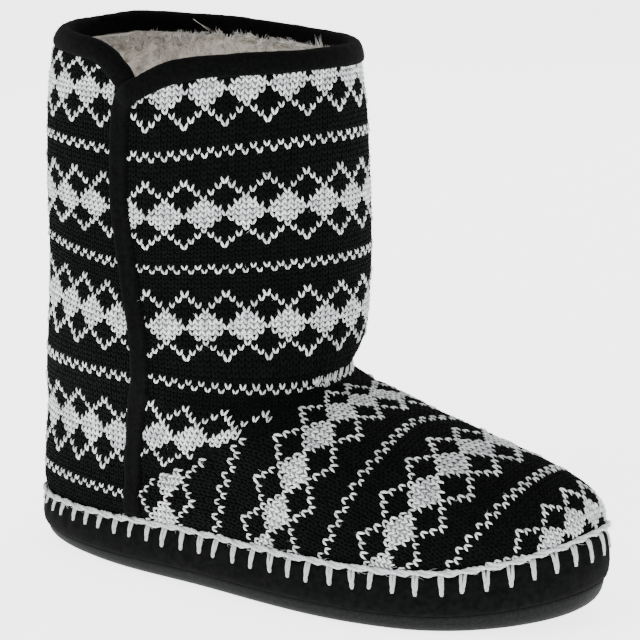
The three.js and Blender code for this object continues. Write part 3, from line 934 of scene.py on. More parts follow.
def back_lattice():
    """Nominal height and column of each stitch of the back panel, from the inner to the outer side."""
    courses = np.arange(-92, 9)
    wales = np.arange(-42, 40)
    columns = np.arange(-BACK_REACH, BACK_REACH + 1.0)
    level = course_values(BACK_COURSES, BACK_HEIGHTS, courses)
    rise = course_values(BACK_COURSES, BACK_RISES, courses)
    spread = np.broadcast_to(columns, (len(courses), len(columns)))

    wanted = level + rise * np.clip((100 - np.abs(spread)) / 45, 0, 1)
    h = settle(lambda points: wanted, wanted, spread)
    points, _out = on_boot(h, spread)
    run = lengths_along(points)
    run -= run[:, [BACK_REACH]]
    heights, places = [], []
    for row in range(len(courses)):
        z = level[row, 0]
        knots = [(wale, np.interp(z, BACK_Z, at)) for wale, at in BACK_WALES.items()]
        knots.insert(0, (wales[0], knots[0][1] * 0.5 + wales[0] * BACK_PITCH))
        at = np.interp(wales, *zip(*knots))
        places.append(np.interp(at, run[row], columns))
        heights.append(np.interp(at, run[row], h[row]))
    return courses, wales, np.array(heights), np.array(places)


# %% [markdown]
# The vamp is a separate piece of the same knitting, turned so that its courses cross the foot. Each course
# lies in a sheet that leans back from the ridge of the foot, more and more towards the toe. Two tables bend
# this net, one for the courses and one for the wales. They too were read off the photograph laid flat.

# %% Courses of the vamp
RIDGE_H = np.linspace(84.0, 25.0, 400)
RIDGE_X = level_at(RIDGE_H)["front"] * LENGTH
RIDGE_RUN = np.r_[0, np.cumsum(np.hypot(np.diff(RIDGE_X), np.diff(RIDGE_H)))]
LEAN_RUNS = [-45, -8, 16, 45, 66, 100, 125, 150]
LEANS = [14, 15.6, 17, 19.8, 21.8, 31, 45, 60]
VAMP_RUNS = np.arange(-50.0, 139.5, 1.5)
VAMP_ARCS = np.arange(0.0, 132.0, 1.0)
VAMP_COURSES = [-30, -23, -17, -11.5, -6, 0, 6, 11.5, 17, 23, 29, 34.5, 40, 46, 50]
COURSE_ARCS = [0, 12, 25, 38, 50, 62, 75, 95]
COURSE_RUNS = [  # distance along the ridge from the crease, at the arcs above, for each row of VAMP_COURSES
    [-50, -50, -50, -50, -50, -50, -50, -50],
    [-36, -36, -36, -36, -36, -36, -35, -34],
    [-22, -22, -22, -22, -22, -22, -22, -21.5],
    [-9, -9, -9, -9, -8.5, -8, -9.8, -7],
    [2.5, 2.5, 3.5, 5.5, 6, 5.5, 5, 4.5],
    [13.3, 13.8, 16.5, 19.7, 20, 19.9, 19.2, 17.8],
    [27.5, 29, 31, 33, 34, 34, 33.5, 33.5],
    [38.6, 40.5, 43, 45.2, 46, 46.1, 46.5, 46.5],
    [51, 52.5, 54.7, 57, 57.5, 57.8, 58, 58],
    [66.8, 68, 70, 70.8, 71.5, 71.8, 73, 73],
    [86.5, 87, 87, 87, 87, 86.5, 86, 86],
    [99.3, 99.3, 99.5, 100, 99.6, 99.6, 99.6, 99.6],
    [112.5, 113, 114, 115, 115.6, 116, 116, 116],
    [129.5, 129.5, 130, 131, 132, 132, 132, 132],
    [139, 139, 139, 139, 139, 139, 139, 139],
]
VAMP_WALES = [-42, -36, -30, -24, -18, -12, -6, 0, 6, 12, 18, 24, 30, 38]
WALE_RUNS = [-30, 0, 17, 45, 70, 86, 99, 113, 128, 140]
WALE_ARCS = [  # signed arc from the ridge of each wale above, for each row of WALE_RUNS
    [-129, -111, -92.5, -74, -55.5, -36.5, -18, 0, 18, 36.5, 55.5, 74, 92.5, 117],
    [-130, -111.5, -93, -74.5, -56, -37, -17.5, 0, 17.5, 37, 56, 74.5, 93, 117],
    [-130, -112, -93.5, -75.2, -56.5, -37.6, -16, 0, 16, 37.6, 56.5, 75.2, 93.5, 118],
    [-131, -113, -95, -76.5, -58, -39.5, -20, 0, 20, 39.5, 58, 76.5, 95, 120],
    [-131, -113, -95, -77, -58.6, -39.9, -19.5, 0.3, 20.5, 40.5, 58.9, 77, 95, 120],
    [-118, -100, -82, -64, -46, -28, -10, 7.0, 24.2, 40.9, 57.8, 74, 91, 116],
    [-105, -87, -69, -51, -33.5, -17, -2.6, 11.3, 25.6, 41.6, 60.3, 78, 95, 118],
    [-99, -81, -63, -45, -28.5, -13.5, 0, 12.8, 26.3, 42.5, 61.2, 79, 96, 119],
    [-96, -78, -60, -43, -27, -12.7, 0, 12.1, 25.5, 41.5, 60, 78, 95, 118],
    [-95, -77, -59, -42, -26, -12.2, 0, 12, 25, 41, 59, 77, 94, 117],
]


def sheet_line(run, side):
    """x and nominal height down one course of the vamp, and its length from the ridge."""
    x0 = np.interp(run, RIDGE_RUN, RIDGE_X) + min(run, 0)
    h0 = np.interp(run, RIDGE_RUN, RIDGE_H) - 0.3 * min(run, 0)
    lean = math.radians(np.interp(run, LEAN_RUNS, LEANS))
    down = (h0 - SOLE_HEIGHT + 1.0) / math.cos(lean) * np.linspace(0, 1, 160) ** 2
    x, h = x0 - down * math.sin(lean), h0 - down * math.cos(lean)
    y = side_of(level_at(h), x, h, side)
    points = np.stack([x, y, h + lift(x, h)], 1)
    return x, h, np.r_[0, np.cumsum(np.linalg.norm(np.diff(points, axis=0), axis=1))]


def vamp_chart(side):
    """Nominal height and column over the vamp, on a net of runs along the ridge and arcs from it."""
    h_net = np.empty((len(VAMP_RUNS), len(VAMP_ARCS)))
    c_net = np.empty_like(h_net)
    arc_crease = sheet_line(0.0, side)[2]
    for i, run in enumerate(VAMP_RUNS):
        x, h, arc = sheet_line(run, side)
        if run < 0:
            arc = arc - arc[-1] + arc_crease[-1]
        h_net[i] = np.interp(VAMP_ARCS, arc, h)
        h_net[i] -= np.maximum(0, VAMP_ARCS - arc[-1])
        c_net[i] = column_at(np.interp(VAMP_ARCS, arc, x), np.maximum(h_net[i], SOLE_HEIGHT), side)
    return h_net, c_net


def table_at(rows, columns, values, row, column):
    """Bilinear reading of a table."""
    values = np.asarray(values, float)
    r = np.clip(np.interp(row, rows, np.arange(len(rows))), 0, len(rows) - 1.001)
    c = np.clip(np.interp(column, columns, np.arange(len(columns))), 0, len(columns) - 1.001)
    i, j = r.astype(int), c.astype(int)
    u, v = r - i, c - j
    low = values[i, j] * (1 - v) + values[i, j + 1] * v
    return low * (1 - u) + (values[i + 1, j] * (1 - v) + values[i + 1, j + 1] * v) * u


def vamp_lattice():
    """Nominal height and column of each stitch of the vamp, from the inner side over to the outer one."""
    courses, wales = np.arange(-29, 51), np.arange(-42, 37)
    k, j = np.meshgrid(courses.astype(float), wales.astype(float), indexing="ij")
    run = table_at(VAMP_COURSES, COURSE_ARCS, COURSE_RUNS, k, np.full(k.shape, 50.0))
    for _ in range(3):
        arc = table_at(WALE_RUNS, VAMP_WALES, WALE_ARCS, run, j)
        run = table_at(VAMP_COURSES, COURSE_ARCS, COURSE_RUNS, k, np.abs(arc))
    sides = []
    for side in (-1, 1):
        h_net, c_net = vamp_chart(side)
        sides.append([table_at(VAMP_RUNS, VAMP_ARCS, net, run, np.abs(arc)) for net in (h_net, c_net)])
    outer = arc > 0
    heights, places = (np.where(outer, sides[0][i], sides[1][i]) for i in range(2))
    return courses, wales, heights, places


# %% [markdown]
# One leg of a stitch is a spindle of yarn: a point, a few rings and a point, so it has few faces and is
# closed. Its mirror image makes the other leg. The white legs have one ring more than the black ones,
# because they are what the eye reads. Every stitch bends the same spindle to its own course and wale.

# %% One stitch
WALE, COURSE = 2.79, 2.0  # the size that the leg is drawn at
SEAT = -0.5  # the stitches are seated this far inside the boot's form
LEG_SPINE = {  # across the wale, up the course and out of the cloth, with the yarn's radius
    "white": [(0.05, -1.30, -0.42, 0), (0.34, -0.72, 0.14, 0.40), (0.74, 0.04, 0.42, 0.52),
              (1.02, 0.76, 0.30, 0.40), (1.24, 1.58, -0.15, 0)],
    "black": [(0.04, -1.50, -0.34, 0), (0.36, -0.62, 0.02, 0.60), (0.90, 0.62, 0.06, 0.66),
              (1.32, 1.80, -0.34, 0)],
}
RING_SIDES = {"white": 5, "black": 3}
RING_TURN = {"white": 0.5, "black": 0.25}  # where a ring's first point stands, as a share of a side
YARN_FLATNESS = 0.85


def leg_shape(kind, thickness):
    """Points of one leg in millimetres and its faces, all of them triangles."""
    spine, sides = LEG_SPINE[kind], RING_SIDES[kind]
    points, faces = [spine[0][:3]], []
    for i in range(1, len(spine) - 1):
        before, here, after = (np.array(spine[n][:3]) for n in (i - 1, i, i + 1))
        along = (after - before) / np.linalg.norm(after - before)
        across = np.cross(along, [0, 0, 1.0])
        across /= np.linalg.norm(across)
        out = np.cross(across, along)
        for s in range(sides):
            angle = 2 * math.pi * (s + RING_TURN[kind]) / sides
            around = math.cos(angle) * across + YARN_FLATNESS * math.sin(angle) * out
            points.append(here + thickness * spine[i][3] * around)
    points.append(spine[-1][:3])
    rings = len(spine) - 2
    for s in range(sides):
        t = (s + 1) % sides
        faces.append((0, 1 + s, 1 + t))
        for r in range(rings - 1):
            a, b = 1 + r * sides + s, 1 + r * sides + t
            faces += [(a, b + sides, b), (a, a + sides, b + sides)]
        faces.append((1 + (rings - 1) * sides + s, len(points) - 1, 1 + (rings - 1) * sides + t))
    return np.array(points), np.array(faces)


def stitch_shape(kind, thickness):
    """Both legs of a stitch, the second one mirrored and its faces turned round again."""
    points, faces = leg_shape(kind, thickness)
    mirrored = points * [-1, 1, 1]
    return np.vstack([points, mirrored]), np.vstack([faces, faces[:, ::-1] + len(points)])


for kind in LEG_SPINE:
    print(kind, "stitch:", len(stitch_shape(kind, 1.0)[1]), "triangles")


# %% [markdown]
# Inside a diamond the white stitches crowd each other and fill out, and along an outline they stand alone
# and look thinner. So each white stitch is made wider by the number of white stitches beside it, and the
# small holes between crowded stitches show the white yarn of the stitch behind, as a shallow backing.

# %% Knit a panel
CROWDED = 0.16  # a white stitch with four white neighbours is wider by this share
LARGE = 1.22
SQUARED = 0.55  # a stitch leans this far from the wale's own direction towards square to its course
BACKING = np.array([
    (-1.45, -1.1, -0.05), (1.45, -1.1, -0.05), (1.45, 1.1, -0.05), (-1.45, 1.1, -0.05), (0, 0, -0.3),
])
BACKING_FACES = np.array([(0, 1, 2), (0, 2, 3), (1, 0, 4), (2, 1, 4), (3, 2, 4), (0, 3, 4)])
BACKING_TINT = 0.1
random = np.random.default_rng(7)


def neighbours(white):
    """Share of the four stitches around each stitch that are white."""
    padded = np.pad(white.astype(float), 1, mode="edge")
    return (padded[:-2, 1:-1] + padded[2:, 1:-1] + padded[1:-1, :-2] + padded[1:-1, 2:]) / 4


def knit(courses, wales, heights, columns, keep, lowest, kind, thickness):
    """Points, faces and tints of a panel's stitches of one colour, and their seats and normals."""
    seats, normals = on_boot(np.maximum(heights, SOLE_HEIGHT), columns, np.full(heights.shape, SEAT))
    across = np.gradient(seats, axis=1)
    up = np.gradient(seats, axis=0)
    k, j = np.meshgrid(courses, wales, indexing="ij")
    white = np.vectorize(chart)(k, j) & (k > lowest)
    large = np.vectorize(is_peak)(k, j)
    chosen = keep(seats, heights, columns) & (white if kind == "white" else ~white)
    seat, normal, across, up = seats[chosen], normals[chosen], across[chosen], up[chosen]
    square = np.cross(normal, across)
    square *= np.linalg.norm(up, axis=1, keepdims=True) / np.linalg.norm(square, axis=1, keepdims=True)
    up = (1 - SQUARED) * up + SQUARED * square
    size = np.where(large[chosen], LARGE, 1.0) * random.normal(1.0, 0.05, len(seat))
    shape, faces = stitch_shape(kind, thickness)
    shift = random.normal(0, 0.045, (len(seat), 2))
    lean = random.normal(0, 0.05, len(seat))
    crowd = 1 + CROWDED * neighbours(white)[chosen] if kind == "white" else np.ones(len(seat))
    u = (shape[:, 0] / WALE * (size * crowd)[:, None]) + shift[:, :1] + lean[:, None] * shape[:, 1] / COURSE
    v = (shape[:, 1] / COURSE * size[:, None]) + shift[:, 1:]
    n = shape[:, 2] * (size * random.normal(1.0, 0.08, len(seat)))[:, None]
    points = seat[:, None] + u[..., None] * across[:, None] + v[..., None] * up[:, None]
    points = points + n[..., None] * normal[:, None]
    tint = np.repeat(random.uniform(0, 0.45, len(seat)), len(shape))
    joined = faces[None] + (np.arange(len(seat)) * len(shape))[:, None, None]
    points, joined = points.reshape(-1, 3), joined.reshape(-1, 3)
    if kind == "white":
        inner = neighbours(white)[chosen] > 0.9
        behind = seat[inner, None] + BACKING[:, 0, None] / WALE * across[inner, None]
        behind = behind + BACKING[:, 1, None] / COURSE * up[inner, None]
        behind = behind + BACKING[:, 2, None] * normal[inner, None]
        starts = len(points) + np.arange(inner.sum()) * len(BACKING)
        points = np.vstack([points, behind.reshape(-1, 3)])
        joined = np.vstack([joined, (BACKING_FACES[None] + starts[:, None, None]).reshape(-1, 3)])
        tint = np.r_[tint, np.full(inner.sum() * len(BACKING), BACKING_TINT)]
    return points, joined, tint, seat, normal


# %% Where each panel is seen
TAPE_OVERLAP = 2.6  # the knit stops this far from the side seam, under the tape
PLAIN_GAP = 0.8  # and this far from the plain seam on the inner side
VAMP_GAP = 0.9  # half the width of the seam round the vamp
FEATHER_GAP = {"shaft": 0.8, "vamp": 0.6}


def below_tape(z, rim):
    """Whether a point lies below the lower edge of the tape, or just under it."""
    return z < rim - TAPE_WIDTH + 2.0


def front_keeps(points, heights, columns):
    """Where the front panel shows: ahead of the seam, below the tape and above the vamp."""
    x, z = points[..., 0], points[..., 2]
    outer = columns < SIDE_COLUMNS
    ahead = x > seam_at(z) + np.where(outer, TAPE_OVERLAP, PLAIN_GAP)
    below_rim = below_tape(z, np.where(outer, front_rim(x), inner_rim(x)))
    above_foot = (heights > SOLE_HEIGHT + FEATHER_GAP["shaft"]) & (above_vamp_seam(x, z) > VAMP_GAP)
    return ahead & below_rim & above_foot


def back_keeps(points, heights, columns):
    """Where the back panel shows: behind the seam and below the tape."""
    x, z = points[..., 0], points[..., 2]
    outer = columns > 0
    behind = x < seam_at(z) - np.where(outer, TAPE_OVERLAP, PLAIN_GAP)
    below_rim = below_tape(z, np.where(outer, back_rim(x), inner_rim(x)))
    return behind & below_rim & (heights > SOLE_HEIGHT + FEATHER_GAP["shaft"])


def vamp_keeps(points, heights, columns):
    """Where the vamp shows: below its seam and ahead of the side seam."""
    x, z = points[..., 0], points[..., 2]
    below = np.where(x < VAMP_SEAM_END, above_vamp_seam(x, z) < -VAMP_GAP, z < INSTEP_TOP)
    edge = np.where(columns < SIDE_COLUMNS, TAPE_OVERLAP, PLAIN_GAP)
    return below & (heights > SOLE_HEIGHT + FEATHER_GAP["vamp"]) & (x > seam_at(z) + edge)


LOWEST_WHITE = -83  # the shaft is plain black between its last dotted row and the sole
PANELS = [  # name, lattice, where it shows, the course that its white ends at and how thick its white yarn is
    ("shaft_front", front_lattice(), front_keeps, LOWEST_WHITE, 0.95),
    ("shaft_back", back_lattice(), back_keeps, LOWEST_WHITE, 0.95),
    ("vamp", vamp_lattice(), vamp_keeps, -math.inf, 0.90),
]
stitch_seats = {}
for kind, material in (("black", BLACK_YARN), ("white", WHITE_YARN)):
    stitch_seats[kind] = []
    for name, lattice, keeps, lowest, thickness in PANELS:
        made = knit(*lattice, keeps, lowest, kind, thickness if kind == "white" else 1.0)
        finish_piece(joined_mesh(name + "_" + kind, *made[:3]), material, "knit")
        stitch_seats[kind].append(made[3:])

# %% [markdown]
# One strip of microsuede binds the boot. It is folded over the rim of the collar as a deep U, turns the
# rounded corner of the front panel and runs down the side over the lap, where only its outer face and its
# rolled edge show. So it is one section swept along one path, and the section changes at the notch.

# %% The path of the binding
TAPE_STEP = 1.6
CHANNEL = [(0.1, 8.2), (1.2, 8.0), (1.75, 7.0), (1.9, 5.2), (1.8, 3.2), (1.3, 1.5), (0.1, 0.4), (-1.5, 0.0),
           (-3.1, 0.4), (-4.2, 1.5), (-4.7, 3.2), (-4.8, 5.2), (-4.7, 7.0), (-4.2, 8.0), (-3.1, 8.2),
           (-2.9, 6.0), (-2.7, 3.0), (-1.6, 1.6), (-0.9, 3.0), (-0.8, 6.0)]
STRIP = [(0.1, 8.1), (1.1, 7.9), (1.65, 7.0), (1.9, 5.4), (2.1, 3.6), (2.3, 2.0), (2.1, 0.8), (1.5, 0.1),
         (0.7, -0.15), (0.0, 0.0), (-0.6, 0.4), (-1.0, 1.0), (-1.0, 2.0), (-1.0, 3.0), (-1.0, 4.0),
         (-1.0, 5.0), (-1.0, 6.0), (-1.0, 7.0), (-0.9, 7.4), (-0.5, 7.9)]
SIDE_EDGE = 4.6  # the edge of the front panel lies this far behind the seam
CORNER_ENDS = 118  # x at which the rounded corner runs out into the collar
TAPE_ENDS = 87.5  # x at which the tape ends on the rim of the back panel, under the lap
JOINS = {"inner": (SIDE_COLUMNS, 60), "back": (370, 30)}  # the rim changes at a column, over some columns
NOTCH_ABOVE = 211  # the path first comes above this height at the notch
WAVES_IN_SUM = 7
ONE_TURN = 6.28  # radians, near enough


def heights_on(rim, columns):
    """Nominal heights that follow a rim, given as real height at each x."""
    h = np.full(len(columns), float(COLLAR_BACK))
    for _ in range(14):
        points, _out = on_boot(h, columns)
        h = h + (rim(points[:, 0]) - points[:, 2]) * 0.7
    return h


def tape_path():
    """Nominal heights and columns: up the side, round the corner, round the collar and to the notch."""
    z = np.linspace(SOLE_HEIGHT + 2.5, CORNER_STARTS - 2, 60)
    x = seam_at(z) - SIDE_EDGE
    corner = EDGE_X < CORNER_ENDS
    x, z = np.r_[x, EDGE_X[corner]], np.r_[z, EDGE_Z[corner]]
    side_h = nominal(x, z)
    side_c = column_at(x, side_h, -1)
    round_c = np.arange(math.ceil(side_c[-1]) + 1.0, ROUND)
    back_c = ROUND + np.arange(0.0, 120.0)
    back_h = heights_on(back_rim, back_c)
    back_x = on_boot(back_h, back_c)[0][:, 0]
    shown = back_x < TAPE_ENDS
    front_h, inner_h = heights_on(front_rim, round_c), heights_on(inner_rim, round_c)
    to_inner, to_back = (smooth((round_c - start) / length) for start, length in JOINS.values())
    round_h = front_h + (inner_h - front_h) * to_inner
    round_h += (back_h[0] - round_h[-1]) * to_back
    h = np.r_[side_h, round_h, back_h[shown]]
    c = np.r_[side_c, round_c, back_c[shown]]
    points, _out = on_boot(h, c)
    run = np.r_[0, np.cumsum(np.linalg.norm(np.diff(points, axis=0), axis=1))]
    even = np.linspace(0, run[-1], round(run[-1] / TAPE_STEP))
    return even, np.interp(even, run, h), np.interp(even, run, c)


def across_path(h, c):
    """Steps of height and column that move one millimetre into the cloth, square to the path."""
    by_c = on_boot(h, c + 0.5)[0] - on_boot(h, c - 0.5)[0]
    by_h = on_boot(h + 0.5, c)[0] - on_boot(h - 0.5, c)[0]
    along = by_c * np.gradient(c)[:, None] + by_h * np.gradient(h)[:, None]
    first, second = (along * by_c).sum(1), (along * by_h).sum(1)
    move = second[:, None] * by_c - first[:, None] * by_h
    size = np.linalg.norm(move, axis=1)
    return -first / size, second / size


def slow_waves(place, seed, longest):
    """A smooth wavering between about -1 and 1 along a length in millimetres."""
    made = np.random.default_rng(seed)
    total = np.zeros_like(np.asarray(place, float))
    for k in range(1, WAVES_IN_SUM + 1):
        wave = np.sin(place * 2 * math.pi * k**1.3 / longest + made.uniform(0, ONE_TURN))
        total = total + wave * made.uniform(0.5, 1) / k
    return total / 1.3


tape_run, tape_h, tape_c = tape_path()
step_h, step_c = across_path(tape_h, tape_c)
tape_points = on_boot(tape_h, tape_c)[0]
NOTCH = int(np.argmax((tape_points[:, 2] > NOTCH_ABOVE) & (tape_points[:, 0] > FRONT_EDGE_X[0])))
print("length of the tape, mm:", round(tape_run[-1], 1), "with the notch at", np.round(tape_points[NOTCH], 1))

# %% [markdown]
# Soft tape never lies quite flat. Its edges waver by a few tenths of a millimetre and its face is a little
# puckered. Where the front edge crosses the back one it rides up over it, and its end sinks under the lap.


# %% Binding tape
def tape_rings():
    """Closed sections along the path, each one between the flat strip and the folded channel."""
    from_notch = tape_run - tape_run[NOTCH]
    to_end = tape_run[-1] - tape_run
    channel = smooth((from_notch + 6) / 10)
    ride = 1.3 * np.exp(-(((from_notch + 5) / 9) ** 2))
    sink = 1.2 * (1 - smooth((to_end - 2) / 9))
    puckers = 0.14 * slow_waves(tape_run, 3, 16) + 0.12 * slow_waves(tape_run, 4, 7)
    rings = []
    for k in range(len(CHANNEL)):
        out = STRIP[k][0] + (CHANNEL[k][0] - STRIP[k][0]) * channel
        down = (STRIP[k][1] + (CHANNEL[k][1] - STRIP[k][1]) * channel) * TAPE_WIDTH / 8
        face = smooth((out + 1.2) / 1.5)
        out = out + (ride - sink) * face + puckers * np.cos(2.0 * k / 3) * smooth((5 - abs(k - 4)) / 4)
        down = down + 0.22 * slow_waves(tape_run, 5 + (k > 9), 45) * smooth((down - 5) / 3)
        down = down + 0.16 * slow_waves(tape_run, 8, 38) * (1 - smooth(down / 3))
        rings.append(on_boot(tape_h + step_h * down, tape_c + step_c * down, out)[0])
    return np.stack(rings, 1)


tape = loft("binding_tape", list(tape_rings()))
finish_piece(tape, MICROSUEDE, "tape", "binding")

# %% [markdown]
# The boot is lined with a cream fleece of long, soft pile. Under the hairs lies the lining itself, a thick
# cloth with a lumpy face, lofted from the insole up to the tape. The insole is faced with the same fleece.

# %% Fleece lining and insole
LINING = {"cloth": -2.7, "face": -5.6, "below": 7.3, "raised": 1.8, "front": 215, "reach": 45}
LINING_ROWS = 80
LINING_STARTS = 3  # the lining goes on this far below the face of the insole
LINING_COLUMNS = 200
INSOLE_TOP = SOLE_HEIGHT + GAP + INSOLE
lining_columns = np.arange(LINING_COLUMNS) * ROUND / LINING_COLUMNS
to_front = np.exp(-(((lining_columns - LINING["front"]) / LINING["reach"]) ** 2))
lining_rim = rim_heights(lining_columns, below=LINING["below"] - LINING["raised"] * to_front)


def lumps(points, size, seed):
    """Soft lumps of about `size` millimetres: a sum of waves in three directions."""
    made = np.random.default_rng(seed)
    total = np.zeros(points.shape[:-1])
    for _ in range(9):
        way = made.normal(size=3)
        way = way / np.linalg.norm(way) * 2 * math.pi / (size * made.uniform(1.2, 2.6))
        total = total + np.sin(points @ way + made.uniform(0, ONE_TURN))
    return total / 3.0


def lining_heights(share):
    """Nominal heights round the lining at a share of the way from its foot to its rim."""
    return INSOLE_TOP - LINING_STARTS + (lining_rim - INSOLE_TOP + LINING_STARTS) * share


def lining_rings():
    """The lining as rows up its smooth back, which lies on the wall, and down its lumpy face."""
    rings = []
    for share in np.linspace(0, 1, LINING_ROWS):
        h = lining_heights(share)
        rings.append(on_boot(h, lining_columns, np.full(LINING_COLUMNS, LINING["cloth"]))[0])
    for share in np.linspace(1, 0, LINING_ROWS):
        h = lining_heights(share)
        seat = on_boot(h, lining_columns)[0]
        depth = LINING["face"] - 0.8 * lumps(seat, 5.0, 21) * smooth((1 - share) * 14)
        rings.append(on_boot(h, lining_columns, depth + 1.6 * smooth(share * 12 - 11))[0])
    return rings


lining = loft("fleece_lining", lining_rings(), closed=True)
finish_piece(lining, FLEECE, "fleece")


def insole_rings():
    """A thick pad: its bottom, its side, and its pile face drawn in ring by ring towards the middle."""
    columns = lining_columns[::2]
    inside = np.full(len(columns), -WALL - 2 * GAP)
    edge = on_boot(np.full(len(columns), SOLE_HEIGHT + 1.0), columns, inside)[0]
    middle = np.array([edge[:, 0].mean(), edge[:, 1].mean(), 0])

    def drawn_in(share):
        points = middle + (edge - middle) * [share, share, 1]
        return points, lift(points[:, 0], np.full(len(points), float(SOLE_HEIGHT)))

    rings = []
    for share, height in [(0.97, 0), (1.0, 0.8), (1.0, 3.4), (0.985, 4.6)]:
        points, bent = drawn_in(share)
        points[:, 2] = SOLE_HEIGHT + GAP + height + bent
        rings.append(points)
    for share in np.linspace(0.96, 0.02, 34):
        points, bent = drawn_in(share)
        points[:, 2] = INSOLE_TOP + 0.5 * lumps(points, 6.0, 31) + bent
        rings.append(points)
    return rings


insole = loft("fleece_insole", insole_rings())
finish_piece(insole, FLEECE, "fleece", "insole")

# %% [markdown]
# The pile is made of tapered hairs. Real fleece gathers in tufts, so each hair leans towards the tip of its
# own tuft. The hairs stand densest just under the tape, where light reaches them, and the longest of them
# poke up over its lower edge.


# %% Helper that makes hairs
HAIR_SIDES = 3
TAPER = 0.75


def hairs(roots, tips, bend, radius, rings):
    """Points and faces of closed tapered hairs with so many rings each, and the number of points of a hair.

    A hair goes from its root to its tip, and bend moves its middle aside."""
    count, sides = len(roots), HAIR_SIDES
    t = np.arange(rings) / rings
    along = tips - roots
    length = np.linalg.norm(along, axis=1, keepdims=True)
    way = along / length
    aside = np.cross(way, [0.31, 0.52, 0.79])
    aside /= np.linalg.norm(aside, axis=1, keepdims=True)
    third = np.cross(way, aside)
    middle = roots[:, None] + t[None, :, None] * along[:, None]
    middle = middle + (4 * t * (1 - t))[None, :, None] * bend[:, None]
    thick = radius[:, None] * (1 - TAPER * t)[None]
    turns = 2 * math.pi * np.arange(sides) / sides
    circle = np.cos(turns)[None, :, None] * aside[:, None] + np.sin(turns)[None, :, None] * third[:, None]
    rows = middle[:, :, None] + thick[:, :, None, None] * circle[:, None]
    points = np.concatenate([rows.reshape(count, -1, 3), tips[:, None]], 1)
    faces = [(0, 2, 1)]
    for s in range(sides):
        n = (s + 1) % sides
        for r in range(rings - 1):
            a, b = r * sides + s, r * sides + n
            faces += [(a, b, b + sides), (a, b + sides, a + sides)]
        faces.append(((rings - 1) * sides + s, (rings - 1) * sides + n, rings * sides))
    faces = np.array(faces)[None] + (np.arange(count) * points.shape[1])[:, None, None]
    return points.reshape(-1, 3), faces.reshape(-1, 3), points.shape[1]


# %% Pile of the lining
PILE = {"hairs": 17000, "tuft": 3.8, "short": 4.5, "long": 8.0, "radius": 0.17, "deep": 62, "sunk": 0.9}
TUFTS_ROUND = 86
ROWS_APART = 97  # more than there are rows of tufts, so that each tuft has a number of its own


def lining_rim_at(columns):
    """Nominal height of the lining's rim at any columns."""
    return np.interp(columns, np.r_[lining_columns, ROUND], np.r_[lining_rim, lining_rim[0]])


def pile():
    """Points, faces and tints of the pile: each hair is drawn towards the tip of its tuft."""
    made = np.random.default_rng(11)
    count = PILE["hairs"]
    depth = np.full(count, LINING["face"] + PILE["sunk"])
    columns = made.uniform(0, ROUND, count)
    rim = lining_rim_at(columns)
    below = PILE["deep"] * made.uniform(0, 1, count) ** 1.35
    h = rim - below
    seat, normal = on_boot(h, columns, depth)
    cell = np.floor(np.c_[columns / ROUND * TUFTS_ROUND, below / PILE["tuft"]]).astype(int)
    cell_id = cell[:, 0] * ROWS_APART + cell[:, 1]
    tuft_turn = made.uniform(0, 2 * math.pi, cell_id.max() + 1)
    tuft_lean = made.uniform(0.2, 1.1, cell_id.max() + 1)
    tuft_jitter = made.uniform(-0.35, 0.35, (cell_id.max() + 1, 2))
    turn, lean = tuft_turn[cell_id], tuft_lean[cell_id]
    centre_c = (cell[:, 0] + 0.5 + tuft_jitter[cell_id, 0]) * ROUND / TUFTS_ROUND
    centre_h = rim - (cell[:, 1] + 0.5 + tuft_jitter[cell_id, 1]) * PILE["tuft"]
    centre = on_boot(centre_h, centre_c, depth)[0]
    level = np.cross([0, 0, 1.0], normal)
    level /= np.linalg.norm(level, axis=1, keepdims=True)
    upward = np.cross(normal, level)
    way = -normal + lean[:, None] * (np.cos(turn)[:, None] * level + np.sin(turn)[:, None] * upward)
    way += 0.35 * upward * smooth(1 - below / 10)[:, None]
    way /= np.linalg.norm(way, axis=1, keepdims=True)
    length = made.uniform(PILE["short"], PILE["long"], count)
    gathered = seat + (centre - seat) * made.uniform(0.3, 0.75, count)[:, None]
    tips = gathered + way * length[:, None] * 0.8 + made.normal(0, 0.55, (count, 3))
    bend = made.normal(0, 0.5, (count, 3)) - 0.4 * normal
    points, faces, each = hairs(seat, tips, bend, made.uniform(0.7, 1.2, count) * PILE["radius"], rings=2)
    return points, faces, np.repeat(made.uniform(0, 0.45, count), each)


finish_piece(joined_mesh("fleece_pile", *pile()), FLEECE, "fleece")


# %% Hairs along the lower edge of the tape
EDGE = {"tufts": 190, "hairs": 9, "radii": (0.08, 0.15), "tint": 0.4}


def edge_tufts():
    """Tufts that poke up over the tape's inner edge, a few of them well above the others."""
    made = np.random.default_rng(23)
    tufts, count = EDGE["tufts"], EDGE["hairs"]
    centre = np.sort(made.uniform(0, ROUND, tufts))
    reach = made.uniform(-0.9, 1.5, tufts) + 3.6 * (made.uniform(0, 1, tufts) > 0.92)
    columns = (centre[:, None] + made.normal(0, 1.6, (tufts, count))).ravel()
    reach = np.repeat(reach, count)
    rim = lining_rim_at(columns % ROUND)
    root_h = rim - made.uniform(0.5, 3.5, len(rim))
    seat, normal = on_boot(root_h, columns, np.full(len(rim), LINING["face"] + 1.2))
    lean = np.repeat(made.normal(0, 0.5, tufts), count)
    level = np.cross([0, 0, 1.0], normal)
    tips = seat + np.array([0, 0, 1.0]) * (2.0 + reach)[:, None]
    tips = tips - normal * made.uniform(0.6, 2.2, len(rim))[:, None]
    tips = tips + level * (lean * reach + made.normal(0, 0.5, len(rim)))[:, None]
    bend = -normal * made.uniform(0.2, 0.9, len(rim))[:, None]
    return hairs(seat, tips, bend, made.uniform(*EDGE["radii"], len(rim)), rings=2)


plain_piece("fleece_edge", edge_tufts(), EDGE["tint"], FLEECE, "fleece")

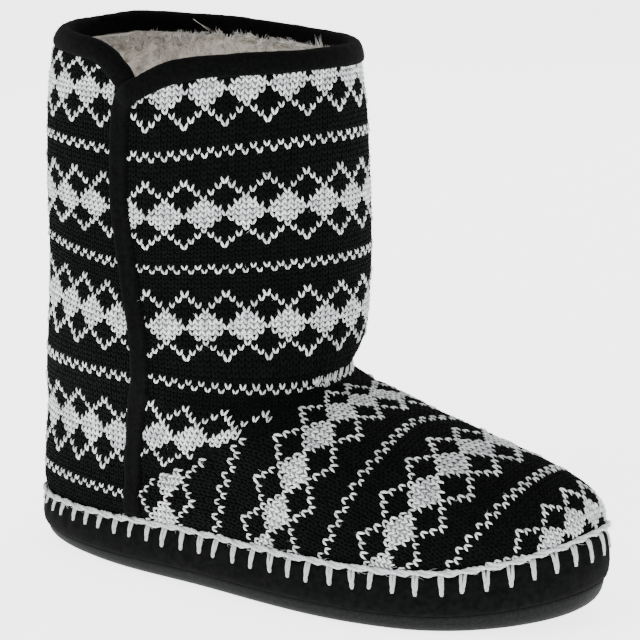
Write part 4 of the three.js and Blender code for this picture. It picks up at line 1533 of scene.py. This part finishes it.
# %% [markdown]
# Acrylic yarn and brushed tape are never clean-edged. Loose fibres spring from the stitches and stand out
# along the outline of the boot, and a short nap covers the tape. Each fibre is a fine hair with a bend.

# %% Loose fibres of the knit
FUZZ = {  # how many fibres, their length and radius in millimetres, how upright they stand, and the seed
    "black": (3400, 1.8, 0.065, 0.9, 61),
    "white": (2600, 1.6, 0.050, 0.45, 62),
}
FIBRE_TINT = 0.3


def fuzz(kind):
    """Fibres that start at random stitches of one colour and lie along the cloth or stand off it."""
    count, length, radius, upright_share, seed = FUZZ[kind]
    made = np.random.default_rng(seed)
    seats = np.vstack([part[0] for part in stitch_seats[kind]])
    normals = np.vstack([part[1] for part in stitch_seats[kind]])
    chosen = made.integers(0, len(seats), count)
    seat = seats[chosen] + made.normal(0, 0.6, (count, 3)) + normals[chosen] * 0.35
    lying = np.cross(normals[chosen], made.normal(size=(count, 3)))
    lying /= np.linalg.norm(lying, axis=1, keepdims=True)
    way = normals[chosen] * made.uniform(0.1, 1, (count, 1)) * upright_share + lying
    way /= np.linalg.norm(way, axis=1, keepdims=True)
    tips = seat + way * (length * made.uniform(0.5, 1.5, count))[:, None]
    bend = made.normal(0, 0.25, (count, 3)) + normals[chosen] * 0.2
    return hairs(seat, tips, bend, made.uniform(0.7, 1.2, count) * radius, rings=1)


for kind, material in (("black", BLACK_YARN), ("white", WHITE_YARN)):
    plain_piece("fuzz_" + kind, fuzz(kind), FIBRE_TINT, material, "knit")


# %% Nap of the tape and stray hairs
NAP = {"fibres": 3000, "length": 0.55, "radius": 0.045, "faces": range(1, 11)}
STRAY_HAIRS = [  # place along the boot, height above the rim at the root and at the tip, and lean forward
    (42, -0.5, -6.0, 7.5),
    (45, -3.5, -6.0, 4.0),
]
STRAY = {"out": -5.2, "radius": 0.10, "bend": [1.2, -0.6, -0.8], "tint": 0.4}


def nap():
    """Short fibres standing on the outer faces of the tape."""
    made = np.random.default_rng(71)
    rings = tape_rings()
    middle = rings.mean(1)
    count = NAP["fibres"]
    along = made.integers(1, len(rings) - 2, count)
    around = made.choice(list(NAP["faces"]), count)
    share = made.uniform(0, 1, (count, 2))
    here, beside = rings[along, around], rings[along, around - 1]
    ahead = rings[along + 1, around]
    seat = here + share[:, :1] * (beside - here) + share[:, 1:] * (ahead - here)
    way = seat - middle[along]
    way /= np.linalg.norm(way, axis=1, keepdims=True)
    way = way + made.normal(0, 0.55, (count, 3))
    tips = seat + way * (NAP["length"] * made.uniform(0.5, 1.5, count))[:, None]
    bend = made.normal(0, 0.08, (count, 3))
    return hairs(seat - way * 0.1, tips, bend, np.full(count, NAP["radius"]), rings=1)


def stray_hairs():
    """White hairs that cling to the inside of the tape on the far side."""
    place = np.array([row[0] for row in STRAY_HAIRS], float)
    first, last, lean = (np.array([row[i] for row in STRAY_HAIRS], float) for i in (1, 2, 3))
    rim = nominal(place, inner_rim(place))
    out = np.full(len(place), STRAY["out"])
    ends = []
    for along, below in ((place, first), (place + lean, last)):
        ends.append(on_boot(rim + below, column_at(along, rim + below, 1), out)[0])
    bend = np.tile(STRAY["bend"], (len(place), 1))
    return hairs(ends[0], ends[1], bend, np.full(len(place), STRAY["radius"]), rings=6)


plain_piece("tape_nap", nap(), FIBRE_TINT, MICROSUEDE, "tape")
plain_piece("stray_hairs", stray_hairs(), STRAY["tint"], FLEECE, "fleece")

# %% [markdown]
# A blanket stitch of thick white yarn joins the upper to the sole. Its edge is a cord of two strands that
# wind once round each other for every two stitches, and from it a doubled yarn goes down into the wrap at
# every stitch. Each strand is itself three plies, so the cord is a twist within a twist.


# %% Yarn along a path
def tube(middle, radius, sides):
    """A closed tube through a row of points, rounded off at its two ends."""
    along = np.gradient(middle, axis=0)
    along /= np.linalg.norm(along, axis=1, keepdims=True)
    across = np.cross(along, [0.21, 0.13, 0.97])
    across /= np.linalg.norm(across, axis=1, keepdims=True)
    third = np.cross(along, across)
    turns = 2 * math.pi * np.arange(sides) / sides
    circle = np.cos(turns)[None, :, None] * across[:, None] + np.sin(turns)[None, :, None] * third[:, None]
    points = middle[:, None] + np.asarray(radius)[:, None, None] * circle
    points = np.vstack([points.reshape(-1, 3), middle[:1], middle[-1:]])
    rows = len(middle)
    r, s = np.meshgrid(np.arange(rows - 1), np.arange(sides), indexing="ij")
    a, b = (r * sides + s).ravel(), (r * sides + (s + 1) % sides).ravel()
    faces = np.vstack([np.c_[a, b, b + sides], np.c_[a, b + sides, a + sides]])
    s = np.arange(sides)
    n = (s + 1) % sides
    first = np.c_[n, s, np.full(sides, rows * sides)]
    last = np.c_[(rows - 1) * sides + s, (rows - 1) * sides + n, np.full(sides, rows * sides + 1)]
    return points, np.vstack([faces, first, last])


def gather(parts):
    """Points and faces of many tubes as one."""
    starts = np.cumsum([0] + [len(part[0]) for part in parts[:-1]])
    faces = [part[1] + start for part, start in zip(parts, starts)]
    return np.vstack([part[0] for part in parts]), np.vstack(faces)


def feather(run, above, inset):
    """Points on the feather line at a run round the sole, raised above it and drawn in by `inset`."""
    place = np.asarray(run, float) % PLAN_RUN[-1]
    plan = np.vstack([PLAN, PLAN[:1]])
    out = outward_of(PLAN)
    out = np.vstack([out, out[:1]])
    x, y = (np.interp(place, PLAN_RUN, plan[:, i]) for i in range(2))
    ox, oy = (np.interp(place, PLAN_RUN, out[:, i]) for i in range(2))
    height = SOLE_HEIGHT + above
    x, y = x - ox * inset, y - oy * inset
    return np.stack([x, y, height + lift(x, height)], -1), np.stack([ox, oy, 0 * ox], -1)


# %% Chain of the blanket stitch
CORD = {"strand": 0.82, "ply": 0.40, "winds": 2, "ply_pitch": 7.0, "above": 0.9, "inset": 1.0}
CORD_SECTION = {"high": 0.82, "wide": 0.62, "ply_out": 0.36}
CORD_STEP = 0.8
CORD_OVERLAP = 3.0  # the two ends of the cord pass each other by this much at the heel
PLIES = 3
PLY_SIDES = 5
stitch_step = PLAN_RUN[-1] / STITCHES


def cord():
    """Points and faces of the chain: two strands of three plies, pulled down a little at each upright."""
    run = np.arange(0, PLAN_RUN[-1] + CORD_OVERLAP, CORD_STEP)
    phase = run / stitch_step
    wobble = 0.22 * slow_waves(run, 41, 23)
    above = CORD["above"] + wobble - 0.35 * np.exp(-((((phase + 0.5) % 1 - 0.5) * stitch_step / 1.6) ** 2))
    middle, out = feather(run, above, CORD["inset"] + 0.15 * slow_waves(run, 42, 31))
    up = np.broadcast_to([0, 0, 1.0], out.shape)
    parts = []
    for strand in range(2):
        angle = 2 * math.pi * (phase / CORD["winds"] + strand / 2) + 0.25 * slow_waves(run, 43, 27)
        offset = np.cos(angle)[:, None] * up * CORD_SECTION["high"]
        offset = offset + np.sin(angle)[:, None] * out * CORD_SECTION["wide"]
        swell = 1 + 0.08 * slow_waves(run, 44 + strand, 13)
        for ply in range(PLIES):
            turn = 2 * math.pi * (run / CORD["ply_pitch"] + ply / PLIES)
            around = np.cos(turn)[:, None] * up + np.sin(turn)[:, None] * out
            place = middle + (offset * CORD["strand"] + around * CORD_SECTION["ply_out"]) * swell[:, None]
            parts.append(tube(place, CORD["ply"] * swell, PLY_SIDES))
    return gather(parts)


plain_piece("blanket_chain", cord(), 0.18, WHITE_YARN, "knit")

# %% [markdown]
# The upright stitches are loops: the yarn leaves the chain, goes down over the bulge of the wrap, turns
# through its hole and comes back beside itself. The two legs stand a little apart at the top and meet at
# the bottom, and no two of them are quite alike.


# %% Upright stitches
UPRIGHT = {"heel": 6.2, "toe": 8.4, "apart": 0.85, "ply": 0.34, "first": 0.5, "points": 19}
WRAP_HEIGHTS, WRAP_INSETS = zip(*WRAP_SIDE)


def upright(k, made):
    """The plies of one upright stitch."""
    t = np.linspace(0, 1, UPRIGHT["points"])
    start = feather((k + UPRIGHT["first"]) * stitch_step, 0, 0)[0]
    deep = UPRIGHT["heel"] + (UPRIGHT["toe"] - UPRIGHT["heel"]) * smooth(start[0] / 110) + made.normal(0, 0.4)
    lean = 0.35 + made.normal(0, 0.45)
    apart = UPRIGHT["apart"] * made.uniform(0.75, 1.3)
    down = np.sin(math.pi * t) ** 0.75
    above = 0.8 - deep * down
    side = apart * np.cos(math.pi * t) * (1.0 - 0.62 * down)
    run = (k + UPRIGHT["first"]) * stitch_step + side + lean * down + made.normal(0, 0.35)
    height = SOLE_HEIGHT + above
    inset = np.interp(height, WRAP_HEIGHTS, WRAP_INSETS) + 0.35 * (1 - smooth((height - 15) / 3))
    inset = np.where(height > SOLE_HEIGHT - 1.2, inset * 0.55 + 0.6, inset)
    middle, out = feather(run, above, inset - 0.25)
    parts = []
    for ply in range(PLIES):
        turn = 2 * math.pi * (t * 1.6 + ply / PLIES) + made.uniform(0, 0.8)
        way = feather(run + 0.5, above, inset)[0] - feather(run - 0.5, above, inset)[0]
        shift = np.cos(turn)[:, None] * way + np.sin(turn)[:, None] * out * 0.7
        radius = np.full(len(t), UPRIGHT["ply"] * made.uniform(0.9, 1.12))
        parts.append(tube(middle + shift * CORD_SECTION["ply_out"], radius, PLY_SIDES))
    return parts


def uprights():
    """Points and faces of all the upright stitches round the sole."""
    made = np.random.default_rng(5)
    return gather([ply for k in range(STITCHES) for ply in upright(k, made)])


plain_piece("blanket_uprights", uprights(), 0.12, WHITE_YARN, "knit")


# %% Loose fibres of the blanket stitch
WISPS = {"fibres": 1100, "length": 3.0, "radius": 0.06}


def wisps():
    """Fibres that lie along the chain and a few that stand off it."""
    made = np.random.default_rng(81)
    count = WISPS["fibres"]
    run = made.uniform(0, PLAN_RUN[-1], count)
    above = CORD["above"] + made.normal(0, 0.7, count)
    inset = CORD["inset"] - made.uniform(0.2, 1.3, count)
    seat, out = feather(run, above, inset)
    length = WISPS["length"] * made.uniform(0.4, 1.3, count)
    ahead = feather(run + length, above, inset)[0] - seat
    side = made.normal(0, 0.28, (count, 3)) * length[:, None]
    tips = seat + ahead + side + out * made.uniform(0, 0.5, count)[:, None]
    return hairs(seat, tips, made.normal(0, 0.35, (count, 3)), np.full(count, WISPS["radius"]), rings=2)


plain_piece("blanket_wisps", wisps(), 0.4, WHITE_YARN, "knit")

# %% Size of the dressed model, and the last line
print("triangles in all:", sum(TRIANGLES.values()))
